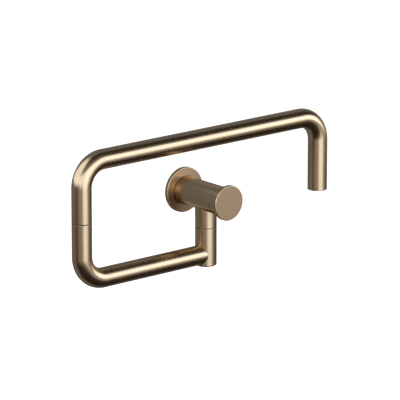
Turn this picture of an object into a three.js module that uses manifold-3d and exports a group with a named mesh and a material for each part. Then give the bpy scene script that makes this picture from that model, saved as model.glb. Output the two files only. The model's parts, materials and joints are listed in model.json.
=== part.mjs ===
// A wall mounted pot filler: a round valve body on a wall flange, a disc knob on its front, a short
// lower arm on a swivel under the body, and a long upper arm that folds back over it from an elbow
// swivel and ends in a spout with an aerator. Millimetres, +Z up, the wall is the plane y = 0 and the
// room is on its -Y side. The origin is the centre of the flange's back face.

import * as THREE from "three";
import { mergeVertices } from "three/addons/utils/BufferGeometryUtils.js";
import Module from "manifold-3d";

const wasm = await Module();
wasm.setup();

// ---- Clearances ---------------------------------------------------------------------------------

const FIT = 0.3; // gap between two pieces that seat on each other
const SEAM = 0.4; // open line between two pieces that turn on each other
const RING_GAP = 0.2; // gap round a sealing ring in its groove
const OVER = 0.5; // how far a cut runs past a face, and joined shapes into each other

// ---- Driving dimensions: the outside ------------------------------------------------------------

const TUBE_R = 11; // water tube, outside
const TUBE_WALL = 1.5;
const BEND_R = 28; // bends of both arms, on the tube's centre line

const SWIVEL_OUT = 39.7; // wall to the plane in which both arms lie
const LOWER_DROP = 65.4; // valve axis down to the lower arm's axis
const ARM_SPREAD = 131.3; // lower arm's axis up to the upper arm's axis
const LOWER_REACH = 173.4; // swivel axis to elbow axis
const UPPER_REACH = 337.3; // elbow axis to spout axis
const SPOUT_DROP = 85.7; // upper arm's axis down to the spout's mouth
const ELBOW_RISE = 65.8; // lower arm's axis up to the elbow's seam

const FLANGE_R = 25.35;
const FLANGE_T = 4.7;
const FLANGE_EDGE = 0.9; // rounding of the flange's front edge
const BODY_R = 15.75; // valve body, and the knob's skirt that carries its line on
const BODY_BACK = 0.6; // wall to the body's back face
const SEAM_OUT = 23.6; // arms' plane out to the seam between body and knob
const KNOB_LENGTH = 15.7; // that seam to the knob's front face
const KNOB_R = 19.65;
const KNOB_DISC_T = 4;
const KNOB_EDGE = 0.5; // chamfer of the knob's disc
const HUB_OVER_TUBE = 1; // how far hub and stub stand out past the tube's radius
const HUB_SEAM = 34.3; // valve axis down to the seam between stub and hub
const HUB_UNDER_TUBE = 1.4; // how far the hub reaches below the lower arm
const HUB_EDGE = 1.2; // rounding of the hub's bottom edge

// ---- Driving dimensions: the wall side ----------------------------------------------------------

const FLANGE_RIM = 1.8; // flange rim outside its gasket
const GASKET_WIDTH = 3;
const GASKET_POCKET = 1.2; // depth of the gasket's groove in the flange
const FLANGE_RING = 1.7; // section of the ring that grips the body inside the flange
const FLANGE_LIP = 0.9; // flange metal in front of that ring's groove
const THREAD_R = 10.45; // G 1/2 male thread, crest
const THREAD_DEPTH = 1.15;
const THREAD_PITCH = 1.814;
const THREAD_TURNS = 7;
const COLLAR_FLAT_R = 12; // connector's hexagon, centre to flat
const COLLAR_T = 3.5;
const SPIGOT_R = 10; // connector's spigot in the back of the body
const SPIGOT_LENGTH = 19.5;
const INLET_R = 6.5;
const FILTER_SEAT = 1.2; // how far the filter's pocket is wider than the inlet
const FILTER_T = 1.6;
const FILTER_MOUTH = 0.9; // filter's depth inside the connector's end
const FILTER_HOLE_R = 1.15;
const HOLE_RIM = 0.6; // metal outside the outer holes of a drilled disc
const SEAL_SECTION = 1.8; // section of the sealing rings in the wall spigot and the swivels
const GROOVE_SPARE = 0.4; // how much wider than its ring a groove is
const SPIGOT_SEAL_1 = 13; // from the wall
const SPIGOT_SEAL_2 = 16.8;
const BODY_SCREW_OUT = 8; // wall to the body's grub screw
const BODY_SCREW_R = 2.2;
const BODY_SCREW_RECESS = 1.2; // how deep the screw sits below the body's skin
const BODY_SCREW_BITE = 1.2; // depth of the connector's groove for the screw's tip
const SOCKET_FLAT_R = 1.25; // hexagon socket of both grub screws, centre to flat
const SOCKET_DEPTH = 2;

// ---- Driving dimensions: the ceramic cartridge --------------------------------------------------

const WEB_BEHIND = 15.1; // arms' plane back to the web that the cartridge seals on
const ORIFICE_R = 5.5;
const CHAMBER_R = 11.2;
const HOUSING_R = 9.6;
const HOUSING_WALL = 1.3;
const HOUSING_LIFT = 1.8; // web to the housing's bottom
const SEAT_SEAL_T = 3.3;
const SEAT_SEAL_WIDTH = 2.1;
const DISC_T = 3.1; // each ceramic disc
const PORT_INNER_R = 2.2; // ports of the ceramic discs
const PORT_OUTER_R = 6.2;
const PORT_SWEEP = THREE.MathUtils.degToRad(76);
const BAR_T = 4; // spindle's cross bar
const BAR_HALF_WIDTH = 3.5;
const LUG_HALF_WIDTH = 1.4; // bar's lugs in the moving disc
const LUG_LENGTH = 1.6;
const LUG_DEPTH = 1.4; // how far a lug stands in from the disc's edge
const STOP_WIDTH = 1.4; // ribs in the housing that stop the bar
const WINDOW_HALF_WIDTH = 4.6;
const SHOULDER_T = 7; // housing's wide shoulder with its sealing ring
const NECK_R = 7.7;
const NECK_LENGTH = 11.5;
const NUT_T = 7.5;
const NUT_WALL = 1.6; // how far the nut's thread stands past the chamber
const NUT_SLOT_HALF_WIDTH = 1.5;
const NUT_SLOT_DEPTH = 1.8;
const STEM_R = 4.9;
const STEM_TIP = 1; // stem past its clip's groove
const STEM_SEAL_UP = 4; // nut's back face to the stem's sealing ring
const STEM_SEAL_SECTION = 1.5;
const SPLINE_R = 4.1;
const SPLINE_DEPTH = 0.6;
const SPLINE_TEETH = 12;
const CLIP_T = 1; // all retaining clips
const CLIP_BITE = 0.9; // how deep a clip sits in its groove
const CLIP_WIDTH = 2.3;
const CLIP_GAP = THREE.MathUtils.degToRad(50);

// ---- Driving dimensions: knob -------------------------------------------------------------------

const SKIRT_WALL = 2.4;
const KNOB_CROWN = 1.8; // metal of the knob behind its disc
const BOSS_R = 8.5;
const BOSS_BACK = 0.9; // skirt's back edge to the boss
const KNOB_SCREW_R = 1.9;
const KNOB_SCREW_LENGTH = 5;
const KNOB_SCREW_BACK = 5.7; // knob seam to its grub screw
const GLIDE_T = 1; // glide rings of knob and hub
const GLIDE_WIDTH = 1.4;
const GLIDE_LIP = 0.9; // metal that hides a glide ring from outside

// ---- Driving dimensions: lower swivel -----------------------------------------------------------

const PIN_R = 8; // swivel pin in stub and hub
const PIN_WALL = 1.1; // pin's wall under its clip's groove
const PIN_SOCKET = 11; // length screwed into the stub
const PIN_JOURNAL = 14.5; // length that turns in the hub
const PIN_NECK_R = 6;
const PIN_TIP = 1.8; // pin past its clip's groove
const PIN_SEAL_1 = 4.2; // from the hub's top face
const PIN_SEAL_2 = 9.2;
const STUB_STEP = 1.3; // width of the shoulder above the pin
const HUB_WEB_T = 3;
const HUB_WALL = 3;
const WASHER_T = 1;
const PORT_WALL = 2; // tube's inside down to the hub's side port
const PLUG_T = 4.3;
const PLUG_SEAL_SECTION = 1.3;
const PLUG_KEY_FLAT_R = 3; // hexagon in the plug, centre to flat
const PLUG_KEY_DEPTH = 2.4;

// ---- Driving dimensions: elbow and spout --------------------------------------------------------

const SOCKET_WALL = 1.5; // elbow socket in the upper arm
const SOCKET_LENGTH = 18.5;
const ELBOW_WALL = 1.5; // spigot's wall under its seal grooves
const ELBOW_BASE = 21; // spigot's base inside the lower arm
const ELBOW_GLIDE_T = 1.4;
const ELBOW_SEAL_1 = 5; // above the glide ring
const ELBOW_SEAL_2 = 11;
const ELBOW_TIP = 1.4; // spigot past its clip's groove
const MOUTH_RECESS = 0.8; // spout's end up to its insert
const INSERT_WALL = 1.2;
const INSERT_LIP = 1.8; // insert's inner lip above the aerator's seal
const INSERT_LIP_T = 1.2;
const AERATOR_RECESS = 0.6; // insert's end up to the aerator
const AERATOR_WALL = 1;
const AERATOR_LENGTH = 10;
const AERATOR_LIP = 0.9;
const AERATOR_LIP_T = 0.8;
const GRID_T = 4;
const GRID_HOLE_R = 0.75;
const DIFFUSER_T = 1.8;
const DIFFUSER_HOLE_R = 0.9;
const AERATOR_SEAL_T = 1.8;

// ---- Fineness -----------------------------------------------------------------------------------

const VISIBLE_SIDES = 36;
const TUBE_SIDES = 28;
const TUBE_BORE_SIDES = 18;
const INNER_SIDES = 20;
const RING_SECTION_SIDES = 5;
const HOLE_SIDES = 6;
const SCREW_SIDES = 12;
const CLIP_STEPS = 14;
const PORT_STEPS = 5;
const BEND_STEPS = 8;

// ---- Materials ----------------------------------------------------------------------------------

const finish = (color, roughness, metalness) =>
  new THREE.MeshStandardMaterial({ color, roughness, metalness });
const BRUSHED_BRONZE = finish(0xb8966c, 0.34, 1);
const RAW_BRASS = finish(0xc9a64e, 0.4, 1);
const STAINLESS = finish(0xb9bbbc, 0.35, 1);
const CERAMIC = finish(0xf0efe9, 0.25, 0);
const RUBBER = finish(0x1c1c1d, 0.8, 0);
const GLIDE_PLASTIC = finish(0x3a3632, 0.6, 0);
const PALE_PLASTIC = finish(0xd9d9d4, 0.5, 0);

// ---- Solids -------------------------------------------------------------------------------------

// A closed geometry as a solid that can be joined and cut.
function solidOf(geometry) {
  const bare = geometry.clone();
  bare.deleteAttribute("normal");
  bare.deleteAttribute("uv");
  const merged = mergeVertices(bare, 1e-4);
  const corners = Array.from(merged.index.array);
  const faces = [];
  for (let i = 0; i < corners.length; i += 3) {
    const [a, b, c] = corners.slice(i, i + 3);
    if (a !== b && b !== c && c !== a) faces.push(a, b, c);
  }
  return new wasm.Manifold(
    new wasm.Mesh({
      numProp: 3,
      vertProperties: merged.attributes.position.array,
      triVerts: new Uint32Array(faces),
    }),
  );
}

// A body turned about Y from its outline, a list of [radius, height].
function turned(outline, sides = INNER_SIDES) {
  let area = 0;
  outline.forEach(([r, h], i) => {
    const [nextR, nextH] = outline[(i + 1) % outline.length];
    area += r * nextH - nextR * h;
  });
  const facingOut = area > 0 ? outline : [...outline].reverse();
  const points = facingOut.map(([r, h]) => new THREE.Vector2(r, h));
  const onAxis = points.filter((p) => p.x === 0).length;
  if (onAxis === 0) points.push(points[0].clone());
  while (onAxis > 0 && !(points[0].x === 0 && points.at(-1).x === 0)) points.push(points.shift());
  return solidOf(new THREE.LatheGeometry(points, sides));
}

const rod = (radius, from, to, sides = INNER_SIDES) =>
  turned([[0, from], [radius, from], [radius, to], [0, to]], sides);

const ring = (inner, outer, from, to, sides = INNER_SIDES) =>
  turned([[inner, from], [outer, from], [outer, to], [inner, to]], sides);

// A hexagonal rod about Y, sized from its centre to a flat.
function hexagon(flatRadius, from, to) {
  const cornerRadius = flatRadius / Math.cos(Math.PI / 6);
  return rod(cornerRadius, from, to, 6);
}

// A box from two corners.
function block([x0, y0, z0], [x1, y1, z1]) {
  const box = new THREE.BoxGeometry(x1 - x0, y1 - y0, z1 - z0);
  return solidOf(box.translate((x0 + x1) / 2, (y0 + y1) / 2, (z0 + z1) / 2));
}

// A sealing ring about Y at a height, between a groove's bottom and the bore around it.
function sealingRing(grooveR, boreR, height, sides = INNER_SIDES) {
  const section = (boreR - grooveR) / 2 - RING_GAP;
  const middle = (boreR + grooveR) / 2;
  const torus = new THREE.TorusGeometry(middle, section, RING_SECTION_SIDES, sides);
  return solidOf(torus.rotateX(Math.PI / 2).translate(0, height, 0));
}

// A flat plate about Y with its outline and holes given as lists of Vector2 in the XZ plane.
function plate(outline, holes, from, to) {
  const shape = new THREE.Shape(outline);
  shape.holes = holes.map((hole) => new THREE.Path(hole));
  const flat = new THREE.ExtrudeGeometry(shape, { depth: to - from, bevelEnabled: false });
  return solidOf(flat.rotateX(-Math.PI / 2).translate(0, from, 0));
}

function circle(radius, sides, [x, y] = [0, 0]) {
  const step = (2 * Math.PI) / sides;
  return Array.from(
    { length: sides },
    (_, i) => new THREE.Vector2(x + radius * Math.cos(i * step), y + radius * Math.sin(i * step)),
  );
}

// Part of a ring in its own plane, from one angle to another.
function ringSector(inner, outer, from, to, steps) {
  const arcAt = (radius, start, end) =>
    Array.from({ length: steps + 1 }, (_, i) => {
      const angle = start + ((end - start) * i) / steps;
      return new THREE.Vector2(radius * Math.cos(angle), radius * Math.sin(angle));
    });
  return [...arcAt(outer, from, to), ...arcAt(inner, to, from)];
}

// A retaining clip about Y: a ring with a gap, in a groove of a shaft.
function clip(shaftR, from) {
  const inner = shaftR - CLIP_BITE + FIT;
  const halfGap = CLIP_GAP / 2;
  const arc = ringSector(inner, inner + CLIP_WIDTH, halfGap, 2 * Math.PI - halfGap, CLIP_STEPS);
  return plate(arc, [], from, from + CLIP_T);
}

// The corners of a groove round a shaft, to splice into its outline.
const groove = (shaftR, depth, from, to) => [
  [shaftR, from],
  [shaftR - depth, from],
  [shaftR - depth, to],
  [shaftR, to],
];

const sealDepth = (section) => section + 2 * RING_GAP - FIT;
const sealHalf = (section) => (section + GROOVE_SPARE) / 2;
const sealGroove = (shaftR, height, section = SEAL_SECTION) =>
  groove(shaftR, sealDepth(section), height - sealHalf(section), height + sealHalf(section));
const sealOn = (shaftR, height, section = SEAL_SECTION) =>
  sealingRing(shaftR - sealDepth(section), shaftR + FIT, height);

// A disc with a middle hole and rings of six, twelve and so on round it.
function drilled(radius, holeR, rings, from, to) {
  const pitch = (radius - HOLE_RIM - holeR) / rings;
  const holes = [circle(holeR, HOLE_SIDES)];
  for (let ringNumber = 1; ringNumber <= rings; ringNumber++) {
    for (let i = 0; i < 6 * ringNumber; i++) {
      const angle = (i * Math.PI) / (3 * ringNumber);
      const out = pitch * ringNumber;
      holes.push(circle(holeR, HOLE_SIDES, [out * Math.cos(angle), out * Math.sin(angle)]));
    }
  }
  return plate(circle(radius, INNER_SIDES), holes, from, to);
}

// A grub screw along Y with its tip first, and the hole that it goes in.
const grubScrew = (radius, tip, socket) =>
  rod(radius, tip, socket, SCREW_SIDES).subtract(
    hexagon(SOCKET_FLAT_R, socket - SOCKET_DEPTH, socket + OVER),
  );
const grubScrewHole = (radius, from) => rod(radius + FIT, from, BODY_R + OVER, SCREW_SIDES);

// Turns a piece that lies along Y to point down, at a distance from the wall.
const pointingDown = (solid, out) => solid.rotate([-90, 0, 0]).translate([0, out, 0]);

// ---- Bent tubes ---------------------------------------------------------------------------------

// A quarter bend from one direction into another, both unit vectors.
class Bend extends THREE.Curve {
  constructor(start, along, turn, radius) {
    super();
    Object.assign(this, { start, along, turn, radius });
  }
  getPoint(t) {
    const angle = (t * Math.PI) / 2;
    return this.start
      .clone()
      .addScaledVector(this.along, this.radius * Math.sin(angle))
      .addScaledVector(this.turn, this.radius * (1 - Math.cos(angle)));
  }
}

// Straights and bends in a row, with one step for each straight and several for each bend.
class TubePath extends THREE.Curve {
  constructor(pieces) {
    super();
    this.stations = pieces.flatMap((piece) => {
      const steps = piece instanceof Bend ? BEND_STEPS : 1;
      return Array.from({ length: steps }, (_, i) => [piece, i / steps]);
    });
    this.stations.push([pieces.at(-1), 1]);
    this.steps = this.stations.length - 1;
  }
  stationAt(t) {
    return this.stations[Math.round(t * this.steps)];
  }
  getPoint(t) {
    const [piece, share] = this.stationAt(t);
    return piece.getPoint(share);
  }
  getTangent(t) {
    const [piece, share] = this.stationAt(t);
    return piece.getTangent(share);
  }
  getUtoTmapping(u) {
    return u;
  }
}

// A tube through corner points, each corner rounded with the bend radius.
function bentTube(corners, outerR, innerR, sides) {
  const pieces = [];
  let from = corners[0];
  for (let i = 1; i < corners.length - 1; i++) {
    const along = corners[i].clone().sub(corners[i - 1]).normalize();
    const turn = corners[i + 1].clone().sub(corners[i]).normalize();
    const start = corners[i].clone().addScaledVector(along, -BEND_R);
    pieces.push(new THREE.LineCurve3(from, start), new Bend(start, along, turn, BEND_R));
    from = corners[i].clone().addScaledVector(turn, BEND_R);
  }
  pieces.push(new THREE.LineCurve3(from, corners.at(-1)));
  const path = new TubePath(pieces);
  const shape = new THREE.Shape(circle(outerR, sides));
  shape.holes.push(new THREE.Path(circle(innerR, TUBE_BORE_SIDES)));
  return solidOf(new THREE.ExtrudeGeometry(shape, { steps: path.steps, extrudePath: path }));
}

// ---- The scene graph ----------------------------------------------------------------------------

const potFiller = new THREE.Group();

function add(group, name, solid, material) {
  const { numProp, numVert, vertProperties, triVerts } = solid.getMesh();
  const positions = new Float32Array(3 * numVert);
  for (let i = 0; i < numVert; i++) {
    positions.set(vertProperties.subarray(i * numProp, i * numProp + 3), 3 * i);
  }
  const geometry = new THREE.BufferGeometry();
  geometry.setAttribute("position", new THREE.BufferAttribute(positions, 3));
  geometry.setIndex(new THREE.BufferAttribute(triVerts, 1));
  geometry.computeVertexNormals();
  const mesh = new THREE.Mesh(geometry, material);
  mesh.name = name;
  group.add(mesh);
}

function branch(x, y, z, turnX = 0, turnZ = 0) {
  const group = new THREE.Group();
  group.position.set(x, y, z);
  group.rotation.set(turnX, 0, turnZ);
  potFiller.add(group);
  return group;
}

const UPRIGHT = Math.PI / 2; // turns a group's Y up
const valve = branch(0, 0, 0, 0, Math.PI); // its Y points from the wall into the room
const arms = branch(0, -SWIVEL_OUT, 0); // the plane in which both arms lie
const swivel = branch(0, -SWIVEL_OUT, 0, UPRIGHT);
const elbow = branch(-LOWER_REACH, -SWIVEL_OUT, 0, UPRIGHT);
const spoutX = UPPER_REACH - LOWER_REACH;
const upperArmZ = ARM_SPREAD - LOWER_DROP;
const spout = branch(spoutX, -SWIVEL_OUT, upperArmZ - SPOUT_DROP, UPRIGHT);

// ---- Wall flange --------------------------------------------------------------------------------

function wallFlange() {
  const bore = BODY_R + FIT;
  const pocketOut = FLANGE_R - FLANGE_RIM;
  const gasketOut = pocketOut - FIT;
  const gasketIn = gasketOut - GASKET_WIDTH;
  const pocketIn = gasketIn - FIT;
  const grooveFront = FLANGE_T - FLANGE_LIP;
  const grooveBack = grooveFront - FLANGE_RING - GROOVE_SPARE;
  const grooveR = bore + FLANGE_RING + RING_GAP;
  const edgeMiddle = FLANGE_EDGE * (1 - Math.SQRT1_2);
  const body = turned(
    [
      [bore, 0],
      [pocketIn, 0],
      [pocketIn, GASKET_POCKET],
      [pocketOut, GASKET_POCKET],
      [pocketOut, 0],
      [FLANGE_R, 0],
      [FLANGE_R, FLANGE_T - FLANGE_EDGE],
      [FLANGE_R - edgeMiddle, FLANGE_T - edgeMiddle],
      [FLANGE_R - FLANGE_EDGE, FLANGE_T],
      [bore, FLANGE_T],
      [bore, grooveFront],
      [grooveR, grooveFront],
      [grooveR, grooveBack],
      [bore, grooveBack],
    ],
    VISIBLE_SIDES,
  );
  add(valve, "wall_flange", body, BRUSHED_BRONZE);

  add(valve, "flange_gasket", ring(gasketIn, gasketOut, 0, GASKET_POCKET - FIT), RUBBER);

  const gripMiddle = (grooveFront + grooveBack) / 2;
  const grip = sealingRing(BODY_R, grooveR, gripMiddle, VISIBLE_SIDES);
  add(valve, "flange_grip_ring", grip, RUBBER);
}

// ---- Wall connector -----------------------------------------------------------------------------

const collarFront = BODY_BACK - FIT;
const collarBack = collarFront - COLLAR_T;
const spigotEnd = collarFront + SPIGOT_LENGTH;
const threadEnd = collarBack - (THREAD_TURNS + 0.5) * THREAD_PITCH;

function wallConnector() {
  const root = THREAD_R - THREAD_DEPTH;
  const threads = [];
  for (let i = 0; i < THREAD_TURNS; i++) {
    const start = threadEnd + i * THREAD_PITCH;
    threads.push([root, start], [THREAD_R, start + THREAD_PITCH / 2]);
  }
  threads.push([root, threadEnd + THREAD_TURNS * THREAD_PITCH]);
  const pocketR = INLET_R + FILTER_SEAT;
  const pocketFront = threadEnd + FILTER_MOUTH + FILTER_T + FIT;
  const screwHalf = BODY_SCREW_R + FIT;
  const shank = turned([
    [pocketR, threadEnd],
    ...threads,
    [root, collarFront],
    [SPIGOT_R, collarFront],
    ...groove(SPIGOT_R, BODY_SCREW_BITE, BODY_SCREW_OUT - screwHalf, BODY_SCREW_OUT + screwHalf),
    ...sealGroove(SPIGOT_R, SPIGOT_SEAL_1),
    ...sealGroove(SPIGOT_R, SPIGOT_SEAL_2),
    [SPIGOT_R, spigotEnd],
    [INLET_R, spigotEnd],
    [INLET_R, pocketFront],
    [pocketR, pocketFront],
  ]);
  const collar = hexagon(COLLAR_FLAT_R, collarBack, collarFront).subtract(
    rod(root - OVER, collarBack - OVER, collarFront + OVER),
  );
  add(valve, "wall_connector", shank.add(collar), RAW_BRASS);

  add(valve, "connector_seal_1", sealOn(SPIGOT_R, SPIGOT_SEAL_1), RUBBER);
  add(valve, "connector_seal_2", sealOn(SPIGOT_R, SPIGOT_SEAL_2), RUBBER);

  const filterBack = threadEnd + FILTER_MOUTH;
  const filter = drilled(pocketR - FIT, FILTER_HOLE_R, 2, filterBack, filterBack + FILTER_T);
  add(valve, "inlet_filter", filter, STAINLESS);
}

// ---- Valve body with its stub -------------------------------------------------------------------

const inletBoreEnd = spigotEnd + FIT;
const webFront = SWIVEL_OUT - WEB_BEHIND;
const housingBack = webFront + HOUSING_LIFT;
const housingInner = HOUSING_R - HOUSING_WALL;
const sealFront = webFront + FIT + SEAT_SEAL_T;
const fixedBack = sealFront + FIT;
const movingBack = fixedBack + DISC_T + FIT;
const barBack = movingBack + DISC_T + FIT;
const barFront = barBack + BAR_T;
const shoulderBack = barFront + FIT;
const shoulderFront = shoulderBack + SHOULDER_T;
const housingFront = shoulderFront + NECK_LENGTH;
const knobSeam = SWIVEL_OUT + SEAM_OUT;
const bodyFront = knobSeam - SEAM / 2;
const glideSeat = bodyFront - GLIDE_T - SEAM / 2;
const nutR = CHAMBER_R + NUT_WALL - FIT;
const stubR = TUBE_R + HUB_OVER_TUBE;
const stubEnd = -HUB_SEAM + SEAM / 2;

function valveBody() {
  const shell = turned(
    [
      [0, BODY_BACK],
      [BODY_R, BODY_BACK],
      [BODY_R, bodyFront],
      [0, bodyFront],
    ],
    VISIBLE_SIDES,
  );
  const bore = turned([
    [0, BODY_BACK - OVER],
    [SPIGOT_R + FIT, BODY_BACK - OVER],
    [SPIGOT_R + FIT, inletBoreEnd],
    [ORIFICE_R, inletBoreEnd],
    [ORIFICE_R, webFront],
    [CHAMBER_R, webFront],
    [CHAMBER_R, shoulderFront],
    [nutR + FIT, shoulderFront],
    [nutR + FIT, glideSeat],
    [BODY_R - GLIDE_LIP, glideSeat],
    [BODY_R - GLIDE_LIP, bodyFront + OVER],
    [0, bodyFront + OVER],
  ]);
  const stub = pointingDown(rod(stubR, 0, -stubEnd, VISIBLE_SIDES), SWIVEL_OUT);
  const pinBore = PIN_R + FIT;
  const pinSeat = -stubEnd - PIN_SOCKET;
  const stubBore = turned([
    [0, 0],
    [pinBore - STUB_STEP, 0],
    [pinBore - STUB_STEP, pinSeat],
    [pinBore, pinSeat],
    [pinBore, -stubEnd + OVER],
    [0, -stubEnd + OVER],
  ]);
  const body = shell
    .add(stub)
    .subtract(bore)
    .subtract(pointingDown(stubBore, SWIVEL_OUT))
    .subtract(pointingDown(grubScrewHole(BODY_SCREW_R, 0), BODY_SCREW_OUT));
  add(valve, "valve_body", body, BRUSHED_BRONZE);

  const screwTip = SPIGOT_R - BODY_SCREW_BITE + FIT;
  const screw = grubScrew(BODY_SCREW_R, screwTip, BODY_R - BODY_SCREW_RECESS);
  add(valve, "body_grub_screw", pointingDown(screw, BODY_SCREW_OUT), STAINLESS);
}

// ---- Ceramic cartridge --------------------------------------------------------------------------

// Two opposite ports of a ceramic disc, the first one centred on an angle.
function ports(middle) {
  const half = PORT_SWEEP / 2;
  return [middle, middle + Math.PI].map((angle) =>
    ringSector(PORT_INNER_R, PORT_OUTER_R, angle - half, angle + half, PORT_STEPS),
  );
}

const discR = housingInner - FIT;

// The two lugs of the spindle's bar, or with some growth the notches that they sit in.
function lugs(grow, from, to) {
  const inner = discR - LUG_DEPTH - grow;
  const outer = discR + OVER;
  const half = LUG_HALF_WIDTH + grow;
  return block([inner, from, -half], [outer, to, half]).add(
    block([-outer, from, -half], [-inner, to, half]),
  );
}

function cartridge() {
  const seat = ring(discR - SEAT_SEAL_WIDTH, discR, webFront + FIT, sealFront);
  add(valve, "seat_seal", seat, RUBBER);

  const fixed = plate(circle(discR, INNER_SIDES), ports(0), fixedBack, fixedBack + DISC_T);
  add(valve, "fixed_ceramic_disc", fixed, CERAMIC);

  const moving = plate(
    circle(discR, INNER_SIDES),
    ports(Math.PI / 2),
    movingBack,
    movingBack + DISC_T,
  ).subtract(lugs(FIT, barBack - LUG_LENGTH - FIT, barBack));
  add(valve, "moving_ceramic_disc", moving, CERAMIC);

  const shoulderR = CHAMBER_R - FIT;
  const shoulderSeal = (shoulderBack + shoulderFront) / 2;
  const shell = turned([
    [housingInner, housingBack],
    [HOUSING_R, housingBack],
    [HOUSING_R, shoulderBack],
    [shoulderR, shoulderBack],
    ...sealGroove(shoulderR, shoulderSeal),
    [shoulderR, shoulderFront],
    [NECK_R, shoulderFront],
    [NECK_R, housingFront],
    [STEM_R + FIT, housingFront],
    [STEM_R + FIT, shoulderBack],
    [housingInner, shoulderBack],
  ]);
  const windows = block(
    [-WINDOW_HALF_WIDTH, movingBack, -CHAMBER_R],
    [WINDOW_HALF_WIDTH, barFront - FIT, CHAMBER_R],
  ).subtract(rod(discR, movingBack - OVER, barFront));
  const stopClear = BAR_HALF_WIDTH + FIT;
  const stopFront = shoulderBack + OVER;
  const stopRing = ring(
    housingInner - STOP_WIDTH,
    (housingInner + HOUSING_R) / 2,
    barBack,
    stopFront,
  );
  const corner = block([stopClear, barBack, stopClear], [HOUSING_R, stopFront, HOUSING_R]);
  const stops = stopRing.intersect(corner.add(corner.rotate([0, 180, 0])));
  add(valve, "cartridge_housing", shell.subtract(windows).add(stops), RAW_BRASS);
  add(valve, "cartridge_seal", sealOn(shoulderR, shoulderSeal), RUBBER);

  const nutBack = shoulderFront + FIT;
  const nutFront = nutBack + NUT_T;
  const slot = block(
    [-nutR - OVER, nutFront - NUT_SLOT_DEPTH, -NUT_SLOT_HALF_WIDTH],
    [nutR + OVER, nutFront + OVER, NUT_SLOT_HALF_WIDTH],
  );
  const nut = ring(NECK_R + FIT, nutR, nutBack, nutFront).subtract(slot);
  add(valve, "cartridge_nut", nut.subtract(slot.rotate([0, 90, 0])), RAW_BRASS);
}

// ---- Spindle ------------------------------------------------------------------------------------

const clipBack = housingFront + FIT;
const clipFront = clipBack + CLIP_T;
const stemEnd = clipFront + FIT + STEM_TIP;
const knobFace = knobSeam + KNOB_LENGTH;
const crownBack = knobFace - KNOB_DISC_T - KNOB_CROWN;
const spindleEnd = crownBack - FIT;

function splineOutline(grow) {
  const count = 2 * SPLINE_TEETH;
  return Array.from({ length: count }, (_, i) => {
    const radius = SPLINE_R + grow - (i % 2 ? SPLINE_DEPTH : 0);
    const angle = (i * 2 * Math.PI) / count;
    return new THREE.Vector2(radius * Math.cos(angle), radius * Math.sin(angle));
  });
}

function spindle() {
  const stemSeal = shoulderFront + FIT + STEM_SEAL_UP;
  const stem = turned([
    [0, barBack],
    [STEM_R, barBack],
    ...sealGroove(STEM_R, stemSeal, STEM_SEAL_SECTION),
    ...groove(STEM_R, CLIP_BITE, clipBack - FIT, clipFront + FIT),
    [STEM_R, stemEnd],
    [0, stemEnd],
  ]);
  const bar = rod(discR, barBack, barFront).intersect(
    block([-discR, barBack, -BAR_HALF_WIDTH], [discR, barFront, BAR_HALF_WIDTH]),
  );
  const lugTips = lugs(0, barBack - LUG_LENGTH, barBack + OVER).intersect(
    rod(discR, barBack - LUG_LENGTH - OVER, barFront),
  );
  const spline = plate(splineOutline(0), [], stemEnd - OVER, spindleEnd);
  add(valve, "spindle", stem.add(bar).add(lugTips).add(spline), RAW_BRASS);
  add(valve, "spindle_seal", sealOn(STEM_R, stemSeal, STEM_SEAL_SECTION), RUBBER);
  add(valve, "spindle_clip", clip(STEM_R, clipBack), STAINLESS);
}

// ---- Knob ---------------------------------------------------------------------------------------

function knob() {
  const skirtBack = knobSeam + SEAM / 2;
  const discBack = knobFace - KNOB_DISC_T;
  const bossBack = skirtBack + BOSS_BACK;
  const skin = turned(
    [
      [BODY_R - SKIRT_WALL, skirtBack],
      [BODY_R, skirtBack],
      [BODY_R, discBack],
      [KNOB_R - KNOB_EDGE, discBack],
      [KNOB_R, discBack + KNOB_EDGE],
      [KNOB_R, knobFace - KNOB_EDGE],
      [KNOB_R - KNOB_EDGE, knobFace],
      [0, knobFace],
      [0, bossBack],
      [BOSS_R, bossBack],
      [BOSS_R, crownBack],
      [BODY_R - SKIRT_WALL, crownBack],
    ],
    VISIBLE_SIDES,
  );
  const screwOut = knobSeam + KNOB_SCREW_BACK;
  const screwHole = pointingDown(grubScrewHole(KNOB_SCREW_R, 0), screwOut);
  const bore = plate(splineOutline(FIT), [], bossBack - OVER, crownBack);
  const body = skin.subtract(bore).subtract(screwHole);
  add(valve, "knob", body, BRUSHED_BRONZE);

  const screwTip = SPLINE_R + FIT;
  const screw = grubScrew(KNOB_SCREW_R, screwTip, screwTip + KNOB_SCREW_LENGTH);
  add(valve, "knob_grub_screw", pointingDown(screw, screwOut), STAINLESS);

  const glideR = BODY_R - GLIDE_LIP - FIT;
  const glide = ring(glideR - GLIDE_WIDTH, glideR, glideSeat + FIT, skirtBack - FIT);
  add(valve, "knob_glide_ring", glide, GLIDE_PLASTIC);
}

// ---- Lower swivel -------------------------------------------------------------------------------

const hubTop = -HUB_SEAM - SEAM / 2;
const journalEnd = hubTop - PIN_JOURNAL;
const webTop = journalEnd - FIT;
const webBottom = webTop - HUB_WEB_T;
const washerTop = webBottom - FIT;
const pinClipTop = washerTop - WASHER_T - FIT;
const pinClipBottom = pinClipTop - CLIP_T;
const hubBottom = -LOWER_DROP - TUBE_R - HUB_UNDER_TUBE;
const chamberR = stubR - HUB_WALL;

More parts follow.
